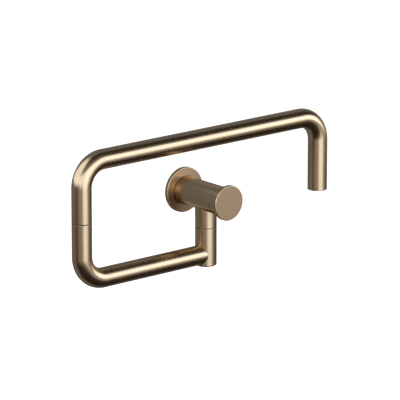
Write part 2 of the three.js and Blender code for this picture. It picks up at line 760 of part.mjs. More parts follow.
function swivelPin() {
  const pinTop = stubEnd + PIN_SOCKET - FIT;
  const pinBottom = pinClipBottom - FIT - PIN_TIP;
  const pinBoreR = PIN_NECK_R - CLIP_BITE - PIN_WALL;
  const pin = turned([
    [pinBoreR, pinBottom],
    [PIN_NECK_R, pinBottom],
    ...groove(PIN_NECK_R, CLIP_BITE, pinClipBottom - FIT, pinClipTop + FIT),
    [PIN_NECK_R, journalEnd],
    [PIN_R, journalEnd],
    ...sealGroove(PIN_R, hubTop - PIN_SEAL_2),
    ...sealGroove(PIN_R, hubTop - PIN_SEAL_1),
    [PIN_R, pinTop],
    [pinBoreR, pinTop],
  ]);
  add(swivel, "swivel_pin", pin, RAW_BRASS);
  add(swivel, "swivel_seal_1", sealOn(PIN_R, hubTop - PIN_SEAL_1), RUBBER);
  add(swivel, "swivel_seal_2", sealOn(PIN_R, hubTop - PIN_SEAL_2), RUBBER);

  const washer = ring(PIN_NECK_R + FIT, chamberR - SEAM, washerTop - WASHER_T, washerTop);
  add(swivel, "swivel_washer", washer, STAINLESS);
  add(swivel, "swivel_clip", clip(PIN_NECK_R, pinClipBottom), STAINLESS);
}

function hub() {
  const glideFloor = hubTop - GLIDE_T - SEAM / 2;
  const edgeMiddle = HUB_EDGE * (1 - Math.SQRT1_2);
  const skin = turned(
    [
      [chamberR, hubBottom],
      [stubR - HUB_EDGE, hubBottom],
      [stubR - edgeMiddle, hubBottom + edgeMiddle],
      [stubR, hubBottom + HUB_EDGE],
      [stubR, hubTop],
      [stubR - GLIDE_LIP, hubTop],
      [stubR - GLIDE_LIP, glideFloor],
      [PIN_R + FIT, glideFloor],
      [PIN_R + FIT, webTop],
      [PIN_NECK_R + FIT, webTop],
      [PIN_NECK_R + FIT, webBottom],
      [chamberR, webBottom],
    ],
    VISIBLE_SIDES,
  );
  const portR = TUBE_R - TUBE_WALL - PORT_WALL;
  const port = rod(portR, 0, stubR + OVER).rotate([0, 0, 90]).translate([0, -LOWER_DROP, 0]);
  add(swivel, "hub", skin.subtract(port), BRUSHED_BRONZE);

  const glideR = stubR - GLIDE_LIP - FIT;
  const glide = ring(glideR - GLIDE_WIDTH, glideR, glideFloor + FIT, stubEnd - FIT);
  add(swivel, "swivel_glide_ring", glide, GLIDE_PLASTIC);

  const plugR = chamberR - FIT;
  const plugBottom = hubBottom + FIT;
  const plugTop = plugBottom + PLUG_T;
  const plugSeal = (plugTop + plugBottom) / 2;
  const plug = turned([
    [0, plugBottom],
    [plugR, plugBottom],
    ...sealGroove(plugR, plugSeal, PLUG_SEAL_SECTION),
    [plugR, plugTop],
    [0, plugTop],
  ]).subtract(hexagon(PLUG_KEY_FLAT_R, plugBottom - OVER, plugBottom + PLUG_KEY_DEPTH));
  add(swivel, "hub_plug", plug, BRUSHED_BRONZE);
  add(swivel, "hub_plug_seal", sealOn(plugR, plugSeal, PLUG_SEAL_SECTION), RUBBER);
}

// ---- Arms ---------------------------------------------------------------------------------------

const tubeInner = TUBE_R - TUBE_WALL;
const elbowSeam = ELBOW_RISE - LOWER_DROP;

function armTubes() {
  const lower = bentTube(
    [
      new THREE.Vector3(0, 0, -LOWER_DROP),
      new THREE.Vector3(-LOWER_REACH, 0, -LOWER_DROP),
      new THREE.Vector3(-LOWER_REACH, 0, elbowSeam - SEAM / 2),
    ],
    TUBE_R,
    tubeInner,
    TUBE_SIDES,
  );
  const reach = TUBE_R + OVER;
  const saddle = rod(stubR + FIT, -LOWER_DROP - reach, -LOWER_DROP + reach, VISIBLE_SIDES);
  add(arms, "lower_arm_tube", lower.subtract(saddle.rotate([90, 0, 0])), BRUSHED_BRONZE);

  const upper = bentTube(
    [
      new THREE.Vector3(-LOWER_REACH, 0, elbowSeam + SEAM / 2),
      new THREE.Vector3(-LOWER_REACH, 0, upperArmZ),
      new THREE.Vector3(spoutX, 0, upperArmZ),
      new THREE.Vector3(spoutX, 0, upperArmZ - SPOUT_DROP),
    ],
    TUBE_R,
    tubeInner,
    TUBE_SIDES,
  );
  add(arms, "upper_arm_tube", upper, BRUSHED_BRONZE);
}

// ---- Elbow swivel -------------------------------------------------------------------------------

function elbowSwivel() {
  const insertR = tubeInner - FIT;
  const journalR = insertR - SOCKET_WALL - FIT;
  const waterwayR = journalR - sealDepth(SEAL_SECTION) - ELBOW_WALL;
  const glideBottom = elbowSeam - ELBOW_GLIDE_T / 2;
  const glideTop = glideBottom + ELBOW_GLIDE_T;
  const baseTop = glideBottom - FIT;
  const socketBottom = glideTop + FIT;
  const socketTop = socketBottom + SOCKET_LENGTH;
  const clipBottom = socketTop + FIT;
  const clipTop = clipBottom + CLIP_T;
  const spigotTop = clipTop + FIT + ELBOW_TIP;
  const spigot = turned([
    [waterwayR, baseTop - ELBOW_BASE],
    [insertR, baseTop - ELBOW_BASE],
    [insertR, baseTop],
    [journalR, baseTop],
    ...sealGroove(journalR, glideTop + ELBOW_SEAL_1),
    ...sealGroove(journalR, glideTop + ELBOW_SEAL_2),
    ...groove(journalR, CLIP_BITE, clipBottom - FIT, clipTop + FIT),
    [journalR, spigotTop],
    [waterwayR, spigotTop],
  ]);
  add(elbow, "elbow_spigot", spigot, RAW_BRASS);
  add(elbow, "elbow_seal_1", sealOn(journalR, glideTop + ELBOW_SEAL_1), RUBBER);
  add(elbow, "elbow_seal_2", sealOn(journalR, glideTop + ELBOW_SEAL_2), RUBBER);
  add(elbow, "elbow_clip", clip(journalR, clipBottom), STAINLESS);

  const boreR = journalR + FIT;
  add(elbow, "elbow_socket", ring(boreR, insertR, socketBottom, socketTop), RAW_BRASS);
  add(elbow, "elbow_glide_ring", ring(boreR, insertR, glideBottom, glideTop), GLIDE_PLASTIC);
}

// ---- Spout end ----------------------------------------------------------------------------------

function spoutEnd() {
  const insertR = tubeInner - FIT;
  const threadR = insertR - INSERT_WALL;
  const insertBottom = MOUTH_RECESS;
  const aeratorBottom = insertBottom + AERATOR_RECESS;
  const aeratorTop = aeratorBottom + AERATOR_LENGTH;
  const sealBottom = aeratorTop + FIT;
  const lipBottom = sealBottom + AERATOR_SEAL_T + FIT;
  const insert = turned([
    [threadR, insertBottom],
    [insertR, insertBottom],
    [insertR, lipBottom + INSERT_LIP_T],
    [threadR - INSERT_LIP, lipBottom + INSERT_LIP_T],
    [threadR - INSERT_LIP, lipBottom],
    [threadR, lipBottom],
  ]);
  add(spout, "outlet_insert", insert, RAW_BRASS);

  const aeratorR = threadR - FIT;
  const inner = aeratorR - AERATOR_WALL;
  const housing = turned([
    [inner - AERATOR_LIP, aeratorBottom],
    [aeratorR, aeratorBottom],
    [aeratorR, aeratorTop],
    [inner, aeratorTop],
    [inner, aeratorBottom + AERATOR_LIP_T],
    [inner - AERATOR_LIP, aeratorBottom + AERATOR_LIP_T],
  ]);
  add(spout, "aerator_housing", housing, BRUSHED_BRONZE);

  const gridBottom = aeratorBottom + AERATOR_LIP_T + FIT;
  const grid = drilled(inner - FIT, GRID_HOLE_R, 2, gridBottom, gridBottom + GRID_T);
  add(spout, "aerator_grid", grid, PALE_PLASTIC);

  const diffuserBottom = gridBottom + GRID_T + FIT;
  const diffuserTop = diffuserBottom + DIFFUSER_T;
  const diffuser = drilled(inner - FIT, DIFFUSER_HOLE_R, 1, diffuserBottom, diffuserTop);
  add(spout, "aerator_diffuser", diffuser, PALE_PLASTIC);

  const sealRing = ring(threadR - INSERT_LIP, aeratorR, sealBottom, sealBottom + AERATOR_SEAL_T);
  add(spout, "aerator_seal", sealRing, RUBBER);
}

wallFlange();
wallConnector();
valveBody();
cartridge();
spindle();
knob();
swivelPin();
hub();
armTubes();
elbowSwivel();
spoutEnd();

export default potFiller;
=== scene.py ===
"""The looks of a wall mounted pot filler in satin bronze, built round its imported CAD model."""

import json
import math

import bmesh
import bpy
import numpy as np
from mathutils import Matrix, Vector

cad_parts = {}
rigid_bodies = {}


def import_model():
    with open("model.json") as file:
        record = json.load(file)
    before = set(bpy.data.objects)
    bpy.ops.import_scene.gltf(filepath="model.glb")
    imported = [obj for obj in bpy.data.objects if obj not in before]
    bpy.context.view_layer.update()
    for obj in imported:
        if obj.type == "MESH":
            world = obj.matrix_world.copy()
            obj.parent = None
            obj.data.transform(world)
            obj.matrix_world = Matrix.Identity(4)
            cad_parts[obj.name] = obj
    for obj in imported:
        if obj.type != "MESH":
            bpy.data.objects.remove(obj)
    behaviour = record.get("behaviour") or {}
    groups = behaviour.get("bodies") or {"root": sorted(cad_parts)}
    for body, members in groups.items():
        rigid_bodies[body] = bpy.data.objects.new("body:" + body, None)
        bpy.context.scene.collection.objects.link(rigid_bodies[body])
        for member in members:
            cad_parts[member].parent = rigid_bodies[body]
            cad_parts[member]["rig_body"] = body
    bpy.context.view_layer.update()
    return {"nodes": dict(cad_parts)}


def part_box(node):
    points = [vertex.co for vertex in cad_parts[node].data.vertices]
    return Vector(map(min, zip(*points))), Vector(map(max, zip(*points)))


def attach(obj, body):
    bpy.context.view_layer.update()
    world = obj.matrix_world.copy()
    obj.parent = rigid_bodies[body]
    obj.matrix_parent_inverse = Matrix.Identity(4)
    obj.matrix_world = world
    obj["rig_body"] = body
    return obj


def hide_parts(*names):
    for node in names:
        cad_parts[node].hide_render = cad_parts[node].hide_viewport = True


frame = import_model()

MM = 0.001  # lengths of the object are in millimetres here, and meshes in metres

# ---- Dimensions of the object, as in the CAD model ----------------------------------------------

FIT = 0.3
SEAM = 0.4
SEAM_SHOWN = 0.8  # between the arms: shade widens the line a little
HUB_SEAM_WIDER = 0.1  # how far stub and hub each stand back for the same reason

TUBE_R = 11.0
TUBE_INNER = 9.5
BEND_R = 28.0
ARMS_Y = -39.7
LOWER_Z = -65.4
UPPER_Z = 65.9
ELBOW_X = -173.4
ELBOW_Z = 0.4
SPOUT_X = 163.9
SPOUT_Z = -19.8

FLANGE_R = 25.35
FLANGE_T = 4.7
GASKET_POCKET = (19.95, 23.55)  # inner and outer radius
GASKET_POCKET_DEPTH = 1.2
GRIP_POCKET_R = 17.95
GRIP_POCKET = (1.7, 3.8)  # from and to, along the axis
BODY_R = 15.75
BODY_BACK = 0.6
BODY_FRONT = 63.1
WEB_BACK = 20.1  # the wall in the body that the cartridge seals on
WEB_FRONT = 24.6
ORIFICE_R = 5.5
CHAMBER_R = 11.2
NUT_BORE_R = 12.8
NUT_BACK = 46.6
KNOB_GLIDE_R = 14.85
KNOB_GLIDE_BACK = 61.9
KNOB_SEAM = 63.3
KNOB_FACE = 79.0
KNOB_DISC_T = 4.0
KNOB_R = 19.65
KNOB_EDGE = 0.5
KNOB_CROWN = 73.2  # inner face of the knob
SKIRT_INNER_R = 13.35
BOSS_R = 8.5
BOSS_BACK = 64.4
SPLINE_BORE_R = 4.4
SPLINE_DEPTH = 0.6
SPLINE_TEETH = 12
BODY_SCREW_OUT = 8.0
BODY_SCREW_R = 2.2
KNOB_SCREW_OUT = 69.0
KNOB_SCREW_R = 1.9
BODY_SCREW_SPAN = (9.1, 14.55)  # tip and socket end, from the piece's axis
KNOB_SCREW_SPAN = (4.4, 9.4)
SCREW_SOCKET_FLAT_R = 1.25
SCREW_SOCKET_DEPTH = 2.0
HUB_R = 12.0
STUB_END = 34.1
HUB_TOP = -34.5
HUB_BOTTOM = -77.8
HUB_CHAMBER_R = 9.0
HUB_CHAMBER_TOP = -52.3
HUB_WEB_TOP = -49.3
HUB_GLIDE_R = 11.1
HUB_GLIDE_BOTTOM = -35.7
HUB_PORT_R = 7.5
STUB_BORE_R = 7.0
PIN_SHOULDER = 23.1  # valve axis down to the pin's end in the stub
PIN_BORE_R = 8.3
PIN_NECK_BORE_R = 6.3
PLUG_T = 4.3
PLUG_KEY_FLAT_R = 3.0
PLUG_KEY_DEPTH = 2.4
PLUG_GROOVE = (1.4, 1.3, 3.0)  # depth, from and to, from the plug's outer face up

THREAD_R = 10.45
THREAD_DEPTH = 1.15
THREAD_PITCH = 1.814
THREAD_TURNS = 7
COLLAR_FLAT_R = 12.0
COLLAR_BACK = -3.2
COLLAR_FRONT = 0.3
CONNECTOR_BACK = COLLAR_BACK - (THREAD_TURNS + 0.5) * THREAD_PITCH
CONNECTOR_FRONT = 19.8
SPIGOT_R = 10.0
INLET_R = 6.5
SPIGOT_GROOVES = (  # floor radius, from and to: for the grub screw's tip and two sealing rings
    (8.8, 5.5, 10.5), (8.1, 11.9, 14.1), (8.1, 15.7, 17.9),
)
FILTER_POCKET_R = 7.7
FILTER_BACK = CONNECTOR_BACK + 0.9
FILTER_T = 1.6
FILTER_HOLE_R = 1.15
HOLE_RIM = 0.6  # outside the outer holes of a drilled disc

INSERT_R = 9.2
INSERT_BORE_R = 8.0
INSERT_LIP_R = 6.2
INSERT_SPAN = (0.8, 13.8, 15.0)  # bottom, lip and top, from the spout's mouth up
AERATOR_R = 7.7
AERATOR_INNER_R = 6.7
AERATOR_LIP_R = 5.8
AERATOR_SPAN = (1.4, 2.2, 11.4)  # bottom, lip and top
GRID_R = 6.4
GRID_BOTTOM = 2.5
GRID_T = 4.0
GRID_HOLE_R = 0.75

# ---- Fineness -----------------------------------------------------------------------------------

ROUND_SIDES = 168
HEXAGON_SIDES = 144
NOTCHED_SIDES = 180
TUBE_SIDES = 96
INNER_SIDES = 96
SMALL_SIDES = 48
HOLE_SIDES = 20
RING_STEPS = 20
BEND_STEPS = 28
EDGE_STEPS = 4
EDGE_HOLD = 1.6  # a rounding of reach 1 has one more corner at this distance on both sides
EDGE_HOLD_MOST = 0.48  # of the edge that the corner lies on
SMOOTH_BELOW = math.radians(33)  # edges flatter than this are shaded smooth

# ---- Camera -------------------------------------------------------------------------------------

CAMERA_AZIMUTH = math.radians(-40.14)
CAMERA_ELEVATION = math.radians(15.09)
CAMERA_DISTANCE = 4.138
CAMERA_ASIDE = 0.0192
CAMERA_RISE = -0.0122
CAMERA_LENS = 337.5
SENSOR = 36.0


def make_camera():
    level = math.cos(CAMERA_ELEVATION)
    back = Vector((
        math.sin(CAMERA_AZIMUTH) * level,
        -math.cos(CAMERA_AZIMUTH) * level,
        math.sin(CAMERA_ELEVATION),
    ))
    right = Vector((math.cos(CAMERA_AZIMUTH), math.sin(CAMERA_AZIMUTH), 0))
    up = back.cross(right)
    data = bpy.data.cameras.new("camera")
    data.lens = CAMERA_LENS
    data.sensor_width = SENSOR
    data.clip_end = 40
    camera = bpy.data.objects.new("camera", data)
    camera.rotation_euler = Matrix((right, up, back)).transposed().to_euler()
    camera.location = back * CAMERA_DISTANCE + right * CAMERA_ASIDE + up * CAMERA_RISE
    bpy.context.scene.collection.objects.link(camera)
    bpy.context.scene.camera = camera


# ---- Node trees ---------------------------------------------------------------------------------


class Nodes:
    """A node tree that is built by calls: nodes("TexNoise", {"Scale": 3}, setting=value)."""

    def __init__(self, owner):
        owner.use_nodes = True
        self.tree = owner.node_tree
        self.tree.nodes.clear()

    def __call__(self, kind, inputs=None, **settings):
        node = self.tree.nodes.new("ShaderNode" + kind)
        for name, value in settings.items():
            setattr(node, name, value)
        for name, value in (inputs or {}).items():
            if isinstance(value, bpy.types.NodeSocket):
                self.tree.links.new(value, node.inputs[name])
            else:
                node.inputs[name].default_value = value
        return node

    def math(self, operation, *values):
        inputs = dict(enumerate(values))
        return self("Math", inputs, operation=operation).outputs[0]

    def blend(self, first, second, share):
        """share of the first value and the rest of the second."""
        rest = self.math("MULTIPLY", second, 1 - share)
        return self.math("MULTIPLY_ADD", first, share, rest)

    def ramp(self, value, low, high, to_low=0.0, to_high=1.0, smooth=False):
        kind = "SMOOTHSTEP" if smooth else "LINEAR"
        inputs = {0: value, 1: low, 2: high, 3: to_low, 4: to_high}
        return self("MapRange", inputs, interpolation_type=kind).outputs[0]

    def mix(self, share, first, second):
        node = self("Mix", {0: share, 6: first, 7: second}, data_type="RGBA")
        return node.outputs[2]

    def noise(self, where, scale, detail=3.0, roughness=0.55):
        inputs = {"Vector": where, "Scale": scale, "Detail": detail, "Roughness": roughness}
        return self("TexNoise", inputs).outputs[0]


# ---- Materials ----------------------------------------------------------------------------------

CLOUD_SCALE = 34.0  # per metre: tone that drifts over some 30 mm
BRONZE_FINE = 3.6  # scales of the streaks, in the bronze's own grain directions
BRONZE_BROAD = 0.55
BROAD_SHARE = 0.4  # of the streaks
CLOUD_SHARE = 0.45  # of the drift that sets tone and roughness
DRIFT_SPAN = (0.36, 0.64)  # the drift's usual values, from one end of the tone to the other
TURNED_ROUGHER = 0.1  # flat faces are turned: they mirror less, and get painted shade, a darker and redder bronze
# painted shade: the darker, redder colour given to flat faces towards the room
PAINTED_SHADE_TONE = (0.4, 0.263, 0.147)
PAINTED_SHADE_POWER = 3.0  # a half turned face is rougher by half of that, but gets hardly any of the painted shade


def surface(name, light, dark, roughness, metallic, grain, spread=(1, 1, 1), bump=0.2,
            relief=0.00001, specular=0.5, rim=(1, 1, 1)):
    """A material whose tone, roughness and relief come from a grain and a slow drift.

    grain is in cycles per metre, and spread stretches it along an axis. Bronze pieces carry their
    own grain directions in an attribute, in millimetres."""
    material = bpy.data.materials.new(name)
    nodes = Nodes(material)
    place = nodes("TexCoord").outputs["Object"]
    if grain is None:
        where = nodes("Attribute", attribute_name="grain").outputs["Vector"]
        fine_scale, broad_scale = BRONZE_FINE, BRONZE_BROAD
    else:
        stretch = {0: place, 1: spread}
        where = nodes("VectorMath", stretch, operation="MULTIPLY").outputs[0]
        fine_scale, broad_scale = grain, grain / 6
    fine = nodes.noise(where, fine_scale, detail=4.0, roughness=0.6)
    broad = nodes.noise(where, broad_scale, detail=2.0)
    cloud = nodes.noise(place, CLOUD_SCALE)
    streaks = nodes.blend(broad, fine, BROAD_SHARE)
    drift = nodes.blend(cloud, streaks, CLOUD_SHARE)
    tone = nodes.ramp(drift, *DRIFT_SPAN)
    low, high = roughness
    colour = nodes.mix(tone, (*dark, 1), (*light, 1))
    rough = nodes.ramp(drift, *DRIFT_SPAN, high, low)
    if grain is None:
        turned = nodes("Attribute", attribute_name="turned").outputs["Fac"]
        # Painted shade: flat faces towards the room turn darker and redder with their turned share,
        # in place of the dimmer light they mirror.
        painted_shade = nodes.math("POWER", turned, PAINTED_SHADE_POWER)
        colour = nodes.mix(painted_shade, colour, (*PAINTED_SHADE_TONE, 1))
        rough = nodes.math("MULTIPLY_ADD", turned, TURNED_ROUGHER, rough)
    shader = nodes("BsdfPrincipled", {
        "Base Color": colour,
        "Metallic": metallic,
        "Roughness": rough,
        "Specular IOR Level": specular,
        "Specular Tint": (*rim, 1),
        "Normal": nodes("Bump", {
            "Strength": bump, "Distance": relief, "Height": fine,
        }).outputs[0],
    })
    nodes("OutputMaterial", {"Surface": shader.outputs[0]})
    return material


MATERIALS = {
    "bronze_finish": surface(
        "satin_bronze", (0.54, 0.412, 0.256), (0.517, 0.394, 0.243), (0.225, 0.255), 1, None,
        bump=0.04, rim=(0.9, 0.8, 0.7),
    ),
    "raw_brass": surface(
        "machined_brass", (0.83, 0.62, 0.27), (0.72, 0.51, 0.2), (0.24, 0.38), 1, 900,
        spread=(1, 1, 0.15), bump=0.35, relief=0.00002,
    ),
    "stainless": surface(
        "stainless_steel", (0.62, 0.61, 0.59), (0.5, 0.495, 0.48), (0.22, 0.36), 1, 1100,
        spread=(1, 0.2, 1), bump=0.3, relief=0.00002,
    ),
    "ceramic": surface(
        "lapped_ceramic", (0.88, 0.87, 0.83), (0.82, 0.8, 0.75), (0.08, 0.16), 0, 2600,
        bump=0.08,
    ),
    "rubber": surface(
        "black_rubber", (0.032, 0.032, 0.033), (0.014, 0.014, 0.015), (0.55, 0.78), 0, 1500,
        bump=0.5, relief=0.00003, specular=0.35,
    ),
    "glide_plastic": surface(
        "dark_glide_plastic", (0.055, 0.048, 0.042), (0.035, 0.03, 0.026), (0.38, 0.55), 0, 1200,
        bump=0.3, relief=0.00002,
    ),
    "pale_plastic": surface(
        "pale_plastic", (0.72, 0.72, 0.68), (0.64, 0.635, 0.59), (0.3, 0.44), 0, 1400,
        bump=0.25, relief=0.00002,
    ),
}

# ---- Skins round a line -------------------------------------------------------------------------
# A line gives, for distances along it, a place and two directions across it, all in millimetres.


def straight(origin, axis, first=(1, 0, 0)):
    origin, axis, first = (np.array(v, float) for v in (origin, axis, first))
    second = np.cross(axis, first)

    def at(along):
        place = origin + along[..., None] * axis
        return place, np.broadcast_to(first, place.shape), np.broadcast_to(second, place.shape)

    return at


def upright(x, z=0.0):
    return straight((x, ARMS_Y, z), (0, 0, 1))


def downward(y):
    return straight((0, y, 0), (0, 0, -1))


FROM_WALL = straight((0, 0, 0), (0, -1, 0))


def bent(corners):
    """A line through corners in the arms' plane, each corner rounded, with where it bends."""
    corners = [np.array((x, ARMS_Y, z), float) for x, z in corners]
    sections = []
    bends = []
    start = corners[0]
    done = 0.0
    for i in range(1, len(corners)):
        along = corners[i] - corners[i - 1]
        along /= np.linalg.norm(along)
        last = i == len(corners) - 1
        stop = corners[i] if last else corners[i] - along * BEND_R
        run = np.linalg.norm(stop - start)
        sections.append((done, done + run, start, along, None))
        done += run
        if last:
            break
        turn = corners[i + 1] - corners[i]
        turn /= np.linalg.norm(turn)
        bends.append((done, done + BEND_R * math.pi / 2))
        sections.append((*bends[-1], stop, along, turn))
        done = bends[-1][1]
        start = corners[i] + turn * BEND_R
    across = np.array((0.0, 1.0, 0.0))

    def at(along_line):
        place = np.zeros(along_line.shape + (3,))
        ahead = np.zeros(along_line.shape + (3,))
        for number, (begin, end, origin, along, turn) in enumerate(sections):
            here = along_line >= begin if number else np.full(along_line.shape, True)
            way = (along_line[here] - begin)[:, None]
            if turn is None:
                place[here] = origin + way * along
                ahead[here] = along
            else:
                angle = way / BEND_R
                forward = np.sin(angle) * along + (1 - np.cos(angle)) * turn
                place[here] = origin + BEND_R * forward
                ahead[here] = np.cos(angle) * along + np.sin(angle) * turn
        return place, np.cross(across, ahead), np.broadcast_to(across, place.shape)

    return at, bends, done


def rounded(corners, closed=True):
    """An outline of (radius, height) corners; a third number rounds that corner off."""
    outline = []
    count = len(corners)
    for i, corner in enumerate(corners):
        here = Vector(corner[:2])
        edge = corner[2] if len(corner) > 2 else 0
        if not edge or (not closed and i in (0, count - 1)):
            outline.append(tuple(here))
            continue
        back = Vector(corners[i - 1][:2]) - here
        ahead = Vector(corners[(i + 1) % count][:2]) - here
        half = back.angle(ahead) / 2
        reach = edge / math.tan(half)
        hold = min(EDGE_HOLD * reach, EDGE_HOLD_MOST * min(back.length, ahead.length))
        back.normalize()
        ahead.normalize()
        middle = here + (back + ahead).normalized() * edge / math.sin(half)
        first = here + back * reach - middle
        last = here + ahead * reach - middle
        sweep = math.atan2(first.cross(last), first.dot(last))
        if hold > reach:
            outline.append(tuple(here + back * hold))
        for step in range(EDGE_STEPS + 1):
            turned = Matrix.Rotation(sweep * step / EDGE_STEPS, 2) @ first
            outline.append(tuple(middle + turned))
        if hold > reach:
            outline.append(tuple(here + ahead * hold))
    return outline


def skin(name, line, outline, sides=ROUND_SIDES, shape=None, lengthwise=False):
    """A closed mesh round a line. An outline that starts and ends on the line is closed there, and
    any other outline is a loop. shape may change the radii and heights round the line."""
    turn = np.arange(sides) * 2 * math.pi / sides
    radius = np.repeat(np.array([p[0] for p in outline], float)[:, None], sides, 1)
    along = np.repeat(np.array([p[1] for p in outline], float)[:, None], sides, 1)
    if shape:
        radius, along = shape(radius, along, turn)
    place, first, second = line(along)
    across = np.cos(turn)[:, None] * first + np.sin(turn)[:, None] * second
    points = (place + radius[..., None] * across).reshape(-1, 3) * MM
    on_line = outline[0][0] == 0 and outline[-1][0] == 0
    rows = len(outline)
    faces = []
    for i in range(rows - 1 if on_line else rows):
        here, there = i * sides, (i + 1) % rows * sides
        for j in range(sides):
            k = (j + 1) % sides
            faces.append((here + j, here + k, there + k, there + j))
    mesh = bpy.data.meshes.new(name)
    mesh.from_pydata(points.tolist(), [], faces)
    if lengthwise:
        round_line = np.stack([radius * np.cos(turn), radius * np.sin(turn)], -1)
        grain = np.concatenate([round_line, along[..., None] / STREAK_LENGTH], -1)
        write_grain(mesh, grain.reshape(-1, 3))
    weld(mesh)
    piece = bpy.data.objects.new(name, mesh)
    bpy.context.scene.collection.objects.link(piece)
    return piece


def weld(mesh):
    """Merges corners that fall together and turns all faces outwards."""
    work = bmesh.new()
    work.from_mesh(mesh)
    bmesh.ops.remove_doubles(work, verts=work.verts, dist=1e-6)
    bmesh.ops.dissolve_degenerate(work, edges=work.edges, dist=1e-6)
    bmesh.ops.recalc_face_normals(work, faces=work.faces)
    work.to_mesh(mesh)
    work.free()


# ---- Grain of the bronze ------------------------------------------------------------------------
# The finish is brushed round turned pieces and lengthwise along the arms.

STREAK_LENGTH = 90.0
RING_GRAIN = 0.7  # streaks run round a piece, some tens of them to a turn
FACES_ROOM = -0.95  # a normal's Y on a flat face towards the room


def write_grain(mesh, values):
    attribute = mesh.attributes.get("grain") or mesh.attributes.new(
        "grain", "FLOAT_VECTOR", "POINT"
    )
    attribute.data.foreach_set("vector", np.ascontiguousarray(values, np.float32).ravel())


def points_of(mesh):
    points = np.zeros(3 * len(mesh.vertices))
    mesh.vertices.foreach_get("co", points)
    return points.reshape(-1, 3) / MM


def ring_grain(points, origin, axis):
    """Grain that runs round an axis, from the place of each point."""
    away = points - np.array(origin, float)
    axis = np.array(axis, float)
    height = away @ axis
    across = away - height[:, None] * axis
    radius = np.linalg.norm(across, axis=1)
    direction = across / np.maximum(radius, 0.01)[:, None]
    return RING_GRAIN * direction + (height + radius)[:, None] * axis


def brush_round(piece, origin=(0, 0, 0), axis=(0, 1, 0)):
    write_grain(piece.data, ring_grain(points_of(piece.data), origin, axis))


def mark_turned_and_shaded(piece, share):
    """Marks the flat face towards the room with how coarsely it is turned, which also sets how much
    painted shade its colour gets.
    """
    mesh = piece.data
    turned = [share if vertex.normal.y < FACES_ROOM else 0.0 for vertex in mesh.vertices]
    mesh.attributes.new("turned", "FLOAT", "POINT").data.foreach_set("value", turned)


# ---- Pieces -------------------------------------------------------------------------------------


def dress(piece, body, slot, *nodes):
    """Gives a finished mesh its shading, material, body and the CAD nodes that it stands for."""
    mesh = piece.data
    mesh.polygons.foreach_set("use_smooth", [True] * len(mesh.polygons))
    mesh.set_sharp_from_angle(angle=SMOOTH_BELOW)
    mesh.materials.clear()
    mesh.materials.append(MATERIALS[slot])
    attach(piece, body)
    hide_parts(*nodes)
    return piece


def carve(piece, operation, *tools):
    """Joins tools to a piece or cuts them from it."""
    for tool in tools:
        change = piece.modifiers.new("carve", "BOOLEAN")
        change.operation = operation
        change.object = tool
        change.solver = "EXACT"
    graph = bpy.context.evaluated_depsgraph_get()
    mesh = bpy.data.meshes.new_from_object(piece.evaluated_get(graph))
    piece.modifiers.clear()
    piece.data = mesh
    for tool in tools:
        bpy.data.objects.remove(tool)
    weld(mesh)
    return piece


def rod(line, radius, start, end, sides=SMALL_SIDES):
    return skin("tool", line, [(0, start), (radius, start), (radius, end), (0, end)], sides)


def hexagon(flat_radius):
    """The radii of a hexagon, as a function of the angle round the line."""
    sixth = math.pi / 3
    return lambda turn: flat_radius / np.cos((turn % sixth) - sixth / 2)


def groove(edge_r, floor_r, start, end):
    """The corners of a groove in an outline."""
    return [(edge_r, start), (floor_r, start), (floor_r, end), (edge_r, end)]


def screw_hole(out, radius, mouth):
    """A tool for a grub screw's hole, from a piece's axis down, with a chamfered mouth."""
    chamfer_start = 15.4
    past = chamfer_start + mouth
    return skin("tool", downward(-out), [
        (0, 0), (radius, 0), (radius, chamfer_start), (radius + mouth, past), (0, past),
    ], SMALL_SIDES)


def ring_of(line, corners, name, sides=ROUND_SIDES, shape=None):
    return skin(name, line, rounded(corners), sides, shape)


def make_flange():
    bore = BODY_R + FIT
    dark_line = bore + 0.45  # the groove round the body
    line_floor = FLANGE_T - 0.7
    lip = BODY_R + 0.06  # closes the groove, so that nothing shines through from the wall side
    fall = 0.4  # the face is a very flat cone
    inner, outer = GASKET_POCKET
    grip_back, grip_front = GRIP_POCKET
    plate = ring_of(FROM_WALL, [
        (bore, 0, 0.2), (inner, 0, 0.12), (inner, GASKET_POCKET_DEPTH),
        (outer, GASKET_POCKET_DEPTH), (outer, 0, 0.12), (FLANGE_R, 0, 0.25),
        (FLANGE_R, FLANGE_T - fall, 0.65), (dark_line, FLANGE_T, 0.12),
        (dark_line, line_floor, 0.1), (lip, line_floor, 0.08), (lip, grip_front),
        (GRIP_POCKET_R, grip_front), (GRIP_POCKET_R, grip_back), (bore, grip_back),
    ], "flange_plate")
    brush_round(plate)
    # the flange's face gets the full painted shade, besides its turned roughness
    mark_turned_and_shaded(plate, 1.0)
    dress(plate, "valve", "bronze_finish", "wall_flange")

    inner, outer, front = inner + FIT, outer - FIT, GASKET_POCKET_DEPTH - FIT
    gasket = ring_of(FROM_WALL, [
        (inner, 0, 0.25), (outer, 0, 0.25), (outer, front, 0.3), (inner, front, 0.3),
    ], "flange_foam_ring")
    dress(gasket, "valve", "rubber", "flange_gasket")


